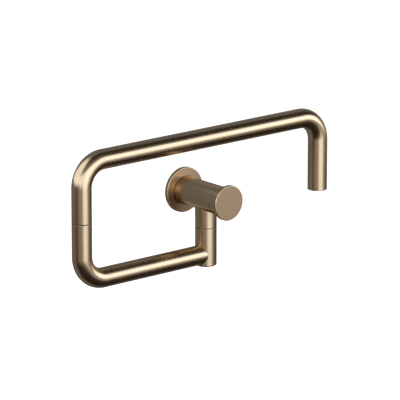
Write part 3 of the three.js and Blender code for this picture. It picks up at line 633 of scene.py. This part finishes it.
def make_connector():
    root = THREAD_R - THREAD_DEPTH
    steps = 8  # rows to a turn of the thread
    thread_start = CONNECTOR_BACK + 0.2
    thread_end = COLLAR_BACK - 0.5 * THREAD_PITCH
    rows = int(round((thread_end - CONNECTOR_BACK) / THREAD_PITCH * steps))
    thread = [
        (THREAD_R, thread_start + (thread_end - thread_start) * i / rows)
        for i in range(rows + 1)
    ]
    edge = 0.3
    chamfer, chamfer_steps = 0.9, 5
    chamfer_r = COLLAR_FLAT_R - 0.2
    corner_r = COLLAR_FLAT_R / math.cos(math.pi / 6)
    back_face = [
        (chamfer_r + (corner_r - chamfer_r) * k / chamfer_steps,
         COLLAR_BACK + chamfer * k / chamfer_steps)
        for k in range(chamfer_steps + 1)
    ]
    front_face = [(r, COLLAR_FRONT + COLLAR_BACK - h) for r, h in reversed(back_face)]
    filter_seat = FILTER_BACK + FILTER_T + FIT
    before = [(FILTER_POCKET_R, CONNECTOR_BACK), (root, CONNECTOR_BACK)]
    relief = [(root, thread_end + 0.3), (root, COLLAR_BACK)]
    outline = [
        *before, *thread, *relief, *back_face, *front_face, (SPIGOT_R, COLLAR_FRONT),
        *(corner for cut in SPIGOT_GROOVES for corner in groove(SPIGOT_R, *cut)),
        (SPIGOT_R, CONNECTOR_FRONT - edge), (SPIGOT_R - edge, CONNECTOR_FRONT),
        (INLET_R + edge, CONNECTOR_FRONT), (INLET_R, CONNECTOR_FRONT - edge),
        (INLET_R, filter_seat), (FILTER_POCKET_R, filter_seat),
    ]
    across_flats = hexagon(COLLAR_FLAT_R)
    thread_rows = slice(len(before), len(before) + len(thread))
    collar = thread_rows.stop + len(relief)
    hexagon_rows = slice(collar, collar + len(back_face) + len(front_face))
    run_in = 1.2  # the length over which the thread rises, and ends again
    steepness, root_flat = 2.6, 0.6

    def shape(radius, along, turn):
        height = along[thread_rows]
        phase = (height / THREAD_PITCH - turn / (2 * math.pi)) % 1
        flank = np.clip(steepness * np.abs(2 * phase - 1) - root_flat, 0, 1)
        lead_in = np.clip((height - CONNECTOR_BACK) / run_in, 0, 1)
        run_out = np.clip((thread_end - height) / run_in, 0, 1)
        radius[thread_rows] = root + THREAD_DEPTH * flank * np.minimum(lead_in, run_out)
        radius[hexagon_rows] = np.minimum(radius[hexagon_rows], across_flats(turn))
        return radius, along

    nipple = skin("connector_nipple", FROM_WALL, outline, HEXAGON_SIDES, shape)
    dress(nipple, "valve", "raw_brass", "wall_connector")

    strainer = drilled(
        "inlet_strainer", FROM_WALL, FILTER_POCKET_R - FIT, FILTER_BACK, FILTER_T, FILTER_HOLE_R
    )
    dress(strainer, "valve", "stainless", "inlet_filter")


def drilled(name, line, radius, bottom, thickness, hole_r, rings=2):
    """A disc with a middle hole and rings of holes round it, all with chamfered mouths."""
    top = bottom + thickness
    disc = skin(name, line, rounded([
        (0, bottom), (radius, bottom, 0.15), (radius, top, 0.15), (0, top),
    ], closed=False), INNER_SIDES)
    pitch = (radius - HOLE_RIM - hole_r) / rings
    middles = [(0.0, 0.0)]
    for number in range(1, rings + 1):
        for i in range(6 * number):
            angle = i * math.pi / (3 * number)
            middles.append((
                pitch * number * math.cos(angle), pitch * number * math.sin(angle)
            ))
    chamfer = 0.12
    past = 0.2
    wide = hole_r + chamfer + past
    cutter_outline = [
        (0, bottom - past), (wide, bottom - past), (hole_r, bottom + chamfer),
        (hole_r, top - chamfer), (wide, top + past), (0, top + past),
    ]
    joined = bmesh.new()
    for x, y in middles:
        def beside(along, x=x, y=y):
            place, first, second = line(along)
            return place + x * first + y * second, first, second
        cutter = skin("tool", beside, cutter_outline, HOLE_SIDES)
        joined.from_mesh(cutter.data)
        bpy.data.objects.remove(cutter)
    holes = bpy.data.meshes.new("holes")
    joined.to_mesh(holes)
    joined.free()
    tool = bpy.data.objects.new("tool", holes)
    bpy.context.scene.collection.objects.link(tool)
    return carve(disc, "DIFFERENCE", tool)


def make_body():
    shell = skin("body_shell", FROM_WALL, rounded([
        (0, BODY_BACK), (BODY_R, BODY_BACK, 0.35), (BODY_R, BODY_FRONT, 0.12), (0, BODY_FRONT),
    ], closed=False))
    down = downward(ARMS_Y)
    stub_end = STUB_END - HUB_SEAM_WIDER
    stub = skin("tool", down, rounded([
        (0, 5), (HUB_R, 5), (HUB_R, stub_end, 0.15), (0, stub_end),
    ], closed=False))
    spigot_bore = SPIGOT_R + FIT
    past = BODY_FRONT + 1.4
    bore = skin("tool", FROM_WALL, [
        (0, -1), (spigot_bore + 2, -1), (spigot_bore, 1), (spigot_bore, WEB_BACK),
        (ORIFICE_R, WEB_BACK), (ORIFICE_R, WEB_FRONT), (CHAMBER_R, WEB_FRONT),
        (CHAMBER_R, NUT_BACK), (NUT_BORE_R, NUT_BACK), (NUT_BORE_R, KNOB_GLIDE_BACK),
        (KNOB_GLIDE_R, KNOB_GLIDE_BACK), (KNOB_GLIDE_R, past), (0, past),
    ], INNER_SIDES)
    chamfer_start, chamfer = 33.8, 1.2
    past = chamfer_start + chamfer
    stub_bore = skin("tool", down, [
        (0, 0), (STUB_BORE_R, 0), (STUB_BORE_R, PIN_SHOULDER), (PIN_BORE_R, PIN_SHOULDER),
        (PIN_BORE_R, chamfer_start), (PIN_BORE_R + chamfer, past), (0, past),
    ], INNER_SIDES)
    carve(shell, "UNION", stub)
    hole = screw_hole(BODY_SCREW_OUT, BODY_SCREW_R + FIT, 1.1)
    carve(shell, "DIFFERENCE", bore, stub_bore, hole)
    points = points_of(shell.data)
    on_stub = np.hypot(points[:, 0], points[:, 2]) > BODY_R + 0.02
    round_body = ring_grain(points, (0, 0, 0), (0, 1, 0))
    round_stub = ring_grain(points, (0, ARMS_Y, 0), (0, 0, 1))
    write_grain(shell.data, np.where(on_stub[:, None], round_stub, round_body))
    dress(shell, "valve", "bronze_finish", "valve_body")


def make_knob():
    skirt_back = KNOB_SEAM + SEAM / 2
    disc_back = KNOB_FACE - KNOB_DISC_T
    cap = skin("knob_cap", FROM_WALL, rounded([
        (0, BOSS_BACK), (BOSS_R, BOSS_BACK, 0.3), (BOSS_R, KNOB_CROWN, 0.2),
        (SKIRT_INNER_R, KNOB_CROWN, 0.4), (SKIRT_INNER_R, skirt_back, 0.15),
        (BODY_R, skirt_back, 0.12), (BODY_R, disc_back, 0.15),
        (KNOB_R - KNOB_EDGE, disc_back, 0.15), (KNOB_R, disc_back + KNOB_EDGE, 0.15),
        (KNOB_R, KNOB_FACE, 0.65), (0, KNOB_FACE),
    ], closed=False))

    def splined(radius, along, turn):
        teeth = np.where(np.arange(len(turn)) % 2, SPLINE_DEPTH, 0.0)
        return np.where(radius > 0, radius - teeth, 0), along

    before = BOSS_BACK - 0.5
    spline_bore = skin("tool", FROM_WALL, [
        (0, before), (SPLINE_BORE_R, before), (SPLINE_BORE_R, KNOB_CROWN), (0, KNOB_CROWN),
    ], 2 * SPLINE_TEETH, splined)
    hole = screw_hole(KNOB_SCREW_OUT, KNOB_SCREW_R + FIT, 1.0)
    carve(cap, "DIFFERENCE", hole, spline_bore)
    brush_round(cap)
    # the knob's face gets 0.7 of the painted shade, besides its turned roughness
    mark_turned_and_shaded(cap, 0.7)
    dress(cap, "knob", "bronze_finish", "knob")


def make_hub():
    line = upright(0)
    hub_top = HUB_TOP - HUB_SEAM_WIDER
    sleeve = ring_of(line, [
        (HUB_CHAMBER_R, HUB_BOTTOM, 0.3), (HUB_R, HUB_BOTTOM, 1.2), (HUB_R, hub_top, 0.2),
        (HUB_GLIDE_R, hub_top, 0.08), (HUB_GLIDE_R, HUB_GLIDE_BOTTOM),
        (PIN_BORE_R, HUB_GLIDE_BOTTOM, 0.2), (PIN_BORE_R, HUB_WEB_TOP),
        (PIN_NECK_BORE_R, HUB_WEB_TOP), (PIN_NECK_BORE_R, HUB_CHAMBER_TOP),
        (HUB_CHAMBER_R, HUB_CHAMBER_TOP),
    ], "hub_sleeve")
    sideways = straight((0, ARMS_Y, LOWER_Z), (-1, 0, 0), (0, 1, 0))
    port = rod(sideways, HUB_PORT_R, 0, HUB_R + 0.5)
    carve(sleeve, "DIFFERENCE", port)
    brush_round(sleeve, (0, ARMS_Y, 0), (0, 0, 1))
    dress(sleeve, "lower_arm", "bronze_finish", "hub")

    plug_r = HUB_CHAMBER_R - FIT
    bottom = HUB_BOTTOM + FIT
    top = bottom + PLUG_T
    key_deep = bottom + PLUG_KEY_DEPTH
    across_flats = hexagon(PLUG_KEY_FLAT_R)
    key = [(2, key_deep), (PLUG_KEY_FLAT_R, key_deep), (PLUG_KEY_FLAT_R, bottom + 0.35)]
    key_rows = slice(2, 4)
    outline = [(0, key_deep), *key, (PLUG_KEY_FLAT_R + 0.8, bottom)]
    depth, start, end = PLUG_GROOVE
    outline += rounded([
        (6.2, bottom), (plug_r, bottom, 0.35),
        *groove(plug_r, plug_r - depth, bottom + start, bottom + end),
        (plug_r, top, 0.2), (0, top),
    ], closed=False)

    def keyed(radius, along, turn):
        radius[key_rows] = across_flats(turn)
        return radius, along

    plug = skin("hub_screw_plug", line, outline, HEXAGON_SIDES, keyed)
    brush_round(plug, (0, ARMS_Y, 0), (0, 0, 1))
    dress(plug, "lower_arm", "bronze_finish", "hub_plug")


def tube_outline(bends, start, end, start_edge, end_edge):
    """The outline of a bent tube, with a row of corners at every step of its bends."""
    def rows(radius):
        steps = [begin + (stop - begin) * k / BEND_STEPS
                 for begin, stop in bends for k in range(BEND_STEPS + 1)]
        return [(radius, along) for along in steps]

    inside = 0.15
    hold = 3.0  # a row of corners this far from each end keeps its rounding apart
    first = rounded([
        (TUBE_INNER, start + hold), (TUBE_INNER, start, inside), (TUBE_R, start, start_edge),
        (TUBE_R, start + hold),
    ], closed=False)
    last = rounded([
        (TUBE_R, end - hold), (TUBE_R, end, end_edge), (TUBE_INNER, end, inside),
        (TUBE_INNER, end - hold),
    ], closed=False)
    return first + rows(TUBE_R) + last + rows(TUBE_INNER)[::-1]


def make_arms():
    half_seam = SEAM_SHOWN / 2
    line, bends, length = bent([(0, LOWER_Z), (ELBOW_X, LOWER_Z), (ELBOW_X, ELBOW_Z - half_seam)])
    saddle_r = HUB_R + FIT
    run_out = 3.0  # the length over which the saddle shape goes over into a flat cut
    outline = tube_outline(bends, saddle_r, length, 0.15, 0.2)

    def saddled(radius, along, turn):
        reach = np.sqrt(saddle_r**2 - (radius * np.sin(turn)) ** 2) - saddle_r
        fade = np.clip((saddle_r + run_out - along) / run_out, 0, 1)
        return radius, along + reach * fade

    lower = skin("lower_arm_pipe", line, outline, TUBE_SIDES, saddled, lengthwise=True)
    dress(lower, "lower_arm", "bronze_finish", "lower_arm_tube")

    line, bends, length = bent([
        (ELBOW_X, ELBOW_Z + half_seam), (ELBOW_X, UPPER_Z), (SPOUT_X, UPPER_Z), (SPOUT_X, SPOUT_Z),
    ])
    outline = tube_outline(bends, 0, length, 0.15, 0.4)
    upper = skin("upper_arm_pipe", line, outline, TUBE_SIDES, lengthwise=True)
    dress(upper, "upper_arm", "bronze_finish", "upper_arm_tube")


def make_spout_end():
    line = upright(SPOUT_X, SPOUT_Z)
    bottom, lip, top = INSERT_SPAN
    insert = ring_of(line, [
        (INSERT_BORE_R, bottom, 0.2), (INSERT_R, bottom, 0.25), (INSERT_R, top, 0.2),
        (INSERT_LIP_R, top, 0.15), (INSERT_LIP_R, lip), (INSERT_BORE_R, lip),
    ], "spout_insert")
    dress(insert, "upper_arm", "raw_brass", "outlet_insert")

    notches = 6  # for the key that unscrews the aerator
    notch_share = 0.3
    notch_top = 1.9
    bottom, lip, top = AERATOR_SPAN

    def notched(radius, along, turn):
        in_notch = (turn * notches / (2 * math.pi)) % 1 < notch_share
        low = along < notch_top + 0.1
        return radius, np.where(low & in_notch, np.maximum(along, notch_top + along * 0.05), along)

    housing = skin("aerator_sleeve", line, rounded([
        (AERATOR_LIP_R, bottom, 0.12), (AERATOR_R, bottom, 0.2), (AERATOR_R, top, 0.2),
        (AERATOR_INNER_R, top), (AERATOR_INNER_R, lip), (AERATOR_LIP_R, lip),
    ]), NOTCHED_SIDES, notched)
    brush_round(housing, (SPOUT_X, ARMS_Y, 0), (0, 0, 1))
    dress(housing, "upper_arm", "bronze_finish", "aerator_housing")

    grid = drilled("aerator_screen", line, GRID_R, GRID_BOTTOM, GRID_T, GRID_HOLE_R)
    dress(grid, "upper_arm", "pale_plastic", "aerator_grid")


def make_grub_screw(name, line, radius, span, body, node):
    tip, socket = span
    pitch = 0.7
    depth = 0.28
    point = 0.5  # height of the screw's cone
    thread_start = tip + point
    deep = socket - SCREW_SOCKET_DEPTH
    across_flats = hexagon(SCREW_SOCKET_FLAT_R)
    rows = 40
    thread = [
        (radius, thread_start + (socket - 0.3 - thread_start) * i / rows)
        for i in range(rows + 1)
    ]
    before = [(0, thread_start), (radius - 1.0, tip), (radius - 0.7, tip)]
    rim = [(radius - 0.35, socket), (SCREW_SOCKET_FLAT_R + 0.45, socket)]
    key = [(SCREW_SOCKET_FLAT_R, socket - 0.2), (SCREW_SOCKET_FLAT_R, deep)]
    outline = [*before, *thread, *rim, *key, (0.5, deep), (0, deep)]
    thread_rows = slice(len(before), len(before) + len(thread))
    first_key_row = thread_rows.stop + len(rim)
    key_rows = slice(first_key_row, first_key_row + len(key))

    def shape(radii, along, turn):
        phase = (along[thread_rows] / pitch - turn / (2 * math.pi)) % 1
        radii[thread_rows] = radius - depth + depth * np.abs(2 * phase - 1)
        radii[key_rows] = across_flats(turn)
        return radii, along

    screw = skin(name, line, outline, SMALL_SIDES, shape)
    dress(screw, body, "stainless", node)


def make_sealing_rings():
    """Smooth sealing rings in the places of the CAD model's faceted ones."""
    lines = {
        "flange_grip_ring": FROM_WALL, "connector_seal_1": FROM_WALL,
        "connector_seal_2": FROM_WALL, "cartridge_seal": FROM_WALL, "spindle_seal": FROM_WALL,
        "swivel_seal_1": upright(0), "swivel_seal_2": upright(0), "hub_plug_seal": upright(0),
        "elbow_seal_1": upright(ELBOW_X), "elbow_seal_2": upright(ELBOW_X),
    }
    for node, line in lines.items():
        low, high = (np.array(corner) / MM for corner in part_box(node))
        size = high - low
        middle = (low + high) / 2
        lies_on = 1 if line is FROM_WALL else 2
        height = -middle[1] if line is FROM_WALL else middle[2]
        section = size[lies_on] / 2
        outer = size[0] / 2
        outline = [
            (outer - section + section * math.cos(2 * math.pi * i / RING_STEPS),
             height + section * math.sin(2 * math.pi * i / RING_STEPS))
            for i in range(RING_STEPS)
        ]
        seal = skin(node + "_smooth", line, outline, INNER_SIDES)
        dress(seal, frame["nodes"][node]["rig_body"], "rubber", node)


def finish_inner_nodes():
    """The CAD nodes that stay get their slot's material, each by what it is made of."""
    for node in frame["nodes"].values():
        if not node.hide_render:
            for place in node.material_slots:
                slot = place.material.name.split(".")[0]
                place.link = "OBJECT"
                place.material = MATERIALS[slot]


# ---- Studio -------------------------------------------------------------------------------------

FLOOR_Z = -1.0
FLOOR_HALF = 9.0
FLOOR_DARK = (0.8, 0.8, 0.8)
FLOOR_LIGHT = (0.82, 0.82, 0.82)
FLOOR_GLOW = 0.8  # brings the floor up to white where it is seen
WORLD_LIGHT = 0.35  # of the surroundings on what they light; seen, they are white
TENT_R = 6.0
TENT_LIFT = 0.01  # the tent's flat bottom lies just above the floor
LIGHT = 1.21

# What the metal sees round it, as panels of a light tent. Degrees: azimuth from the room's side
# towards +X, and elevation; the third number of each is how softly the panel ends.
PANELS = {
    "left_window": ((-156, -74, 22), (25, 72, 20), 1.28),
    "left_back_window": ((-162, -129, 14), (4, 24, 8), 1.4),
    "strip_left": ((-62, -22, 24), (-5, 28, 13), 1.46),
    "front_strip": ((-22, 42, 20), (-5, 31.5, 13), 1.84),
    "strip_right": ((42, 60, 18), (-6, 25.3, 12), 2.28),
    "strip_right_end": ((60, 71, 18), (-6, 20.5, 12), 2.28),
    "strip_glow": ((-60, 40, 40), (22, 56, 24), 0.16),
    "low_front": ((-24, 27.3, 26), (-20, -4, 9), 1.34),
    "low_wide": ((-84, 55, 40), (-24, -6, 12), 0.23),
    "left_back_dim": ((-155, -85, 30), (-40, 20, 14), -0.02),
    "right_glow": ((74, 102, 12), (-12, 14, 12), 0.24),
    "back_glow": ((112, 200, 20), (2, 28, 14), 0.08),
    "back_low": ((100, 200, 20), (-96, -26, 12), -0.04),
}
BRIGHT_PANEL = 1.0  # panels above this level are looked for by the renderer's light sampling
TENT_BACK = 0.19
TENT_FRONT = 0.018
TENT_FRONT_SPAN = (-104, 98, 36)
# Cards near the object, which only part of it mirrors, each with its middle and its two half sides,
# in metres, and its light.
CARDS = {
    "wall_card": ((0, 0.04, 0), (0.19, 0, 0), (0, 0, 0.12), (0.205, 0.205, 0.205)),
    "wall_card_high": ((0.065, 0.039, 0.08), (0.04, 0, 0), (0, 0, 0.03), (0.33, 0.33, 0.33)),
    "wall_card_low": ((0.01, 0.039, -0.075), (0.045, 0, 0), (0, 0, 0.035), (0.33, 0.33, 0.33)),
    "left_card": ((-0.555, -0.1, 0.154), (0, 0.382, 0), (0, 0, 0.102), (1.78, 1.85, 2.1)),
}
# Dim parts of the tent are warm, and bright ones cool from a level that depends on the elevation
# and is higher at the far left: from, to, and the values there. Behind, all is cool, but less so in
# the left part.
WARM = (1.26, 1.0, 0.88)
COOL = (0.91, 1.03, 1.22)
COOL_FROM = (-9.0, -3.0, 1.6, 1.1)
COOL_FROM_LEFT = (-90.0, -60.0, 0.6, 0.0)
LEFT_BACK_SPAN = (-155, -85, 30)
LEFT_BACK_WARM = 0.6
TENT_LIT = {"tent_dim": 0.25, "tent_bright": 2.0}  # the levels that light is looked for by


def tent_material(name, lit):
    """The tent's picture. Its strength is the same with any lit, and only its noise differs."""
    material = bpy.data.materials.new(name)
    nodes = Nodes(material)
    place = nodes("TexCoord").outputs["Object"]
    direction = nodes("VectorMath", {0: place}, operation="NORMALIZE").outputs[0]
    x, y, z = nodes("SeparateXYZ", {0: direction}).outputs
    towards_room = nodes.math("MULTIPLY", y, -1.0)
    azimuth = nodes.math("DEGREES", nodes.math("ARCTAN2", x, towards_room))
    elevation = nodes.math("DEGREES", nodes.math("ARCSINE", z))

    def between(value, low, high, soft):
        rise = nodes.ramp(value, low - soft / 2, low + soft / 2, smooth=True)
        fall = nodes.ramp(value, high - soft / 2, high + soft / 2, 1.0, 0.0, smooth=True)
        return nodes.math("MULTIPLY", rise, fall)

    front = between(azimuth, *TENT_FRONT_SPAN)
    level = nodes.math("MULTIPLY_ADD", front, TENT_FRONT - TENT_BACK, TENT_BACK)
    for across, upward, strength in PANELS.values():
        part = nodes.math("MULTIPLY", between(azimuth, *across), between(elevation, *upward))
        level = nodes.math("MULTIPLY_ADD", part, strength, level)
    left_back = nodes.math("MULTIPLY", between(azimuth, *LEFT_BACK_SPAN), LEFT_BACK_WARM)
    behind = nodes.math("SUBTRACT", nodes.math("SUBTRACT", 1.0, front), left_back)
    cool_from = nodes.ramp(elevation, *COOL_FROM, smooth=True)
    cool_from = nodes.math("ADD", cool_from, nodes.ramp(azimuth, *COOL_FROM_LEFT))
    cool = nodes.math("MAXIMUM", nodes.ramp(level, 0.0, cool_from), behind)
    colour = nodes.mix(cool, (*WARM, 1), (*COOL, 1))
    share = nodes.math("MULTIPLY", level, LIGHT / lit)
    scaled = nodes("VectorMath", {0: colour, "Scale": share}, operation="SCALE").outputs[0]
    shader = nodes("Emission", {"Color": scaled, "Strength": lit})
    nodes("OutputMaterial", {"Surface": shader.outputs[0]})
    return material


def in_bright_panel(direction):
    azimuth = math.degrees(math.atan2(direction.x, -direction.y))
    elevation = math.degrees(math.asin(direction.z))

    def within(value, low, high, soft):
        return low - soft < value < high + soft

    return any(
        strength > BRIGHT_PANEL and within(azimuth, *across) and within(elevation, *upward)
        for across, upward, strength in PANELS.values()
    )


def make_tent():
    rings, sides = 48, 96
    points = []
    for i in range(rings + 1):
        for j in range(sides):
            height, turn = math.pi * i / rings, 2 * math.pi * j / sides
            flat = TENT_R * math.sin(height)
            z = max(TENT_R * math.cos(height), FLOOR_Z + TENT_LIFT)
            points.append((flat * math.cos(turn), flat * math.sin(turn), z))
    faces = [
        (i * sides + j, i * sides + (j + 1) % sides,
         (i + 1) * sides + (j + 1) % sides, (i + 1) * sides + j)
        for i in range(rings) for j in range(sides)
    ]
    mesh = bpy.data.meshes.new("tent")
    mesh.from_pydata(points, [], faces)
    weld(mesh)
    for name, lit in TENT_LIT.items():
        mesh.materials.append(tent_material(name, lit))
    for face in mesh.polygons:
        face.material_index = int(in_bright_panel(face.center.normalized()))
    only_mirrored("tent", mesh)


def make_cards():
    for name, (middle, across, upward, light) in CARDS.items():
        material = bpy.data.materials.new(name)
        nodes = Nodes(material)
        strength = max(light)
        colour = [part / strength for part in light]
        shader = nodes("Emission", {"Color": (*colour, 1), "Strength": strength})
        nodes("OutputMaterial", {"Surface": shader.outputs[0]})
        only_mirrored(name, rectangle(name, middle, across, upward, material))


def rectangle(name, middle, across, upward, material):
    """A flat mesh from its middle and two half sides."""
    middle, across, upward = Vector(middle), Vector(across), Vector(upward)
    corners = [(-1, -1), (1, -1), (1, 1), (-1, 1)]
    mesh = bpy.data.meshes.new(name)
    mesh.from_pydata([middle + across * i + upward * j for i, j in corners], [], [range(4)])
    mesh.materials.append(material)
    return mesh


def only_mirrored(name, mesh):
    """A stage object that only shows in reflections."""
    piece = bpy.data.objects.new(name, mesh)
    bpy.context.scene.collection.objects.link(piece)
    piece.visible_camera = False
    piece.visible_diffuse = False
    piece.visible_transmission = False
    piece.visible_shadow = False


def seen_rays(nodes):
    """1 for what the camera sees, directly, mirrored or through glass."""
    path = nodes("LightPath").outputs
    direct = nodes.math("MAXIMUM", path["Is Camera Ray"], path["Is Glossy Ray"])
    return nodes.math("MAXIMUM", direct, path["Is Transmission Ray"])


def make_floor():
    material = bpy.data.materials.new("pale_floor")
    nodes = Nodes(material)
    place = nodes("TexCoord").outputs["Object"]
    mottle = nodes.ramp(nodes.noise(place, 0.9), 0.3, 0.7)
    colour = nodes.mix(mottle, (*FLOOR_DARK, 1), (*FLOOR_LIGHT, 1))
    lit = nodes("BsdfDiffuse", {"Color": colour})
    glow = nodes("Emission", {"Strength": nodes.math("MULTIPLY", seen_rays(nodes), FLOOR_GLOW)})
    both = nodes("AddShader", {0: lit.outputs[0], 1: glow.outputs[0]})
    nodes("OutputMaterial", {"Surface": both.outputs[0]})
    half_sides = (FLOOR_HALF, 0, 0), (0, FLOOR_HALF, 0)
    mesh = rectangle("floor", (0, 0, FLOOR_Z), *half_sides, material)
    floor = bpy.data.objects.new("floor", mesh)
    bpy.context.scene.collection.objects.link(floor)


def make_world():
    world = bpy.data.worlds.new("white_surroundings")
    bpy.context.scene.world = world
    nodes = Nodes(world)
    strength = nodes.ramp(seen_rays(nodes), 0.0, 1.0, WORLD_LIGHT, 1.0)
    background = nodes("Background", {"Color": (1, 1, 1, 1), "Strength": strength})
    nodes("OutputWorld", {"Surface": background.outputs[0]})


LAMPS = {  # where from, in metres, width, height and watts
    "key_softbox": ((1.9, -2.6, 1.3), 2.2, 1.2, 60),
    "left_softbox": ((-2.7, -0.4, 1.6), 1.8, 1.8, 45),
    "back_softbox": ((0.8, 2.8, 1.8), 2.0, 1.4, 30),
}


def make_lamps():
    """Soft light for the floor, the plastics and the rubber."""
    for name, (place, width, height, watts) in LAMPS.items():
        data = bpy.data.lights.new(name, "AREA")
        data.shape = "RECTANGLE"
        data.size, data.size_y, data.energy = width, height, watts
        lamp = bpy.data.objects.new(name, data)
        lamp.location = place
        lamp.rotation_euler = Vector(place).to_track_quat("Z", "Y").to_euler()
        lamp.visible_glossy = False
        bpy.context.scene.collection.objects.link(lamp)


# ---- The scene ----------------------------------------------------------------------------------

make_camera()
make_flange()
make_connector()
make_body()
make_knob()
make_hub()
make_arms()
make_spout_end()
make_grub_screw(
    "body_grub_screw_cut", downward(-BODY_SCREW_OUT), BODY_SCREW_R, BODY_SCREW_SPAN, "valve",
    "body_grub_screw",
)
make_grub_screw(
    "knob_grub_screw_cut", downward(-KNOB_SCREW_OUT), KNOB_SCREW_R, KNOB_SCREW_SPAN, "knob",
    "knob_grub_screw",
)
make_sealing_rings()
finish_inner_nodes()
make_tent()
make_cards()
make_floor()
make_world()
make_lamps()
bpy.context.scene.view_settings.view_transform = "Standard"
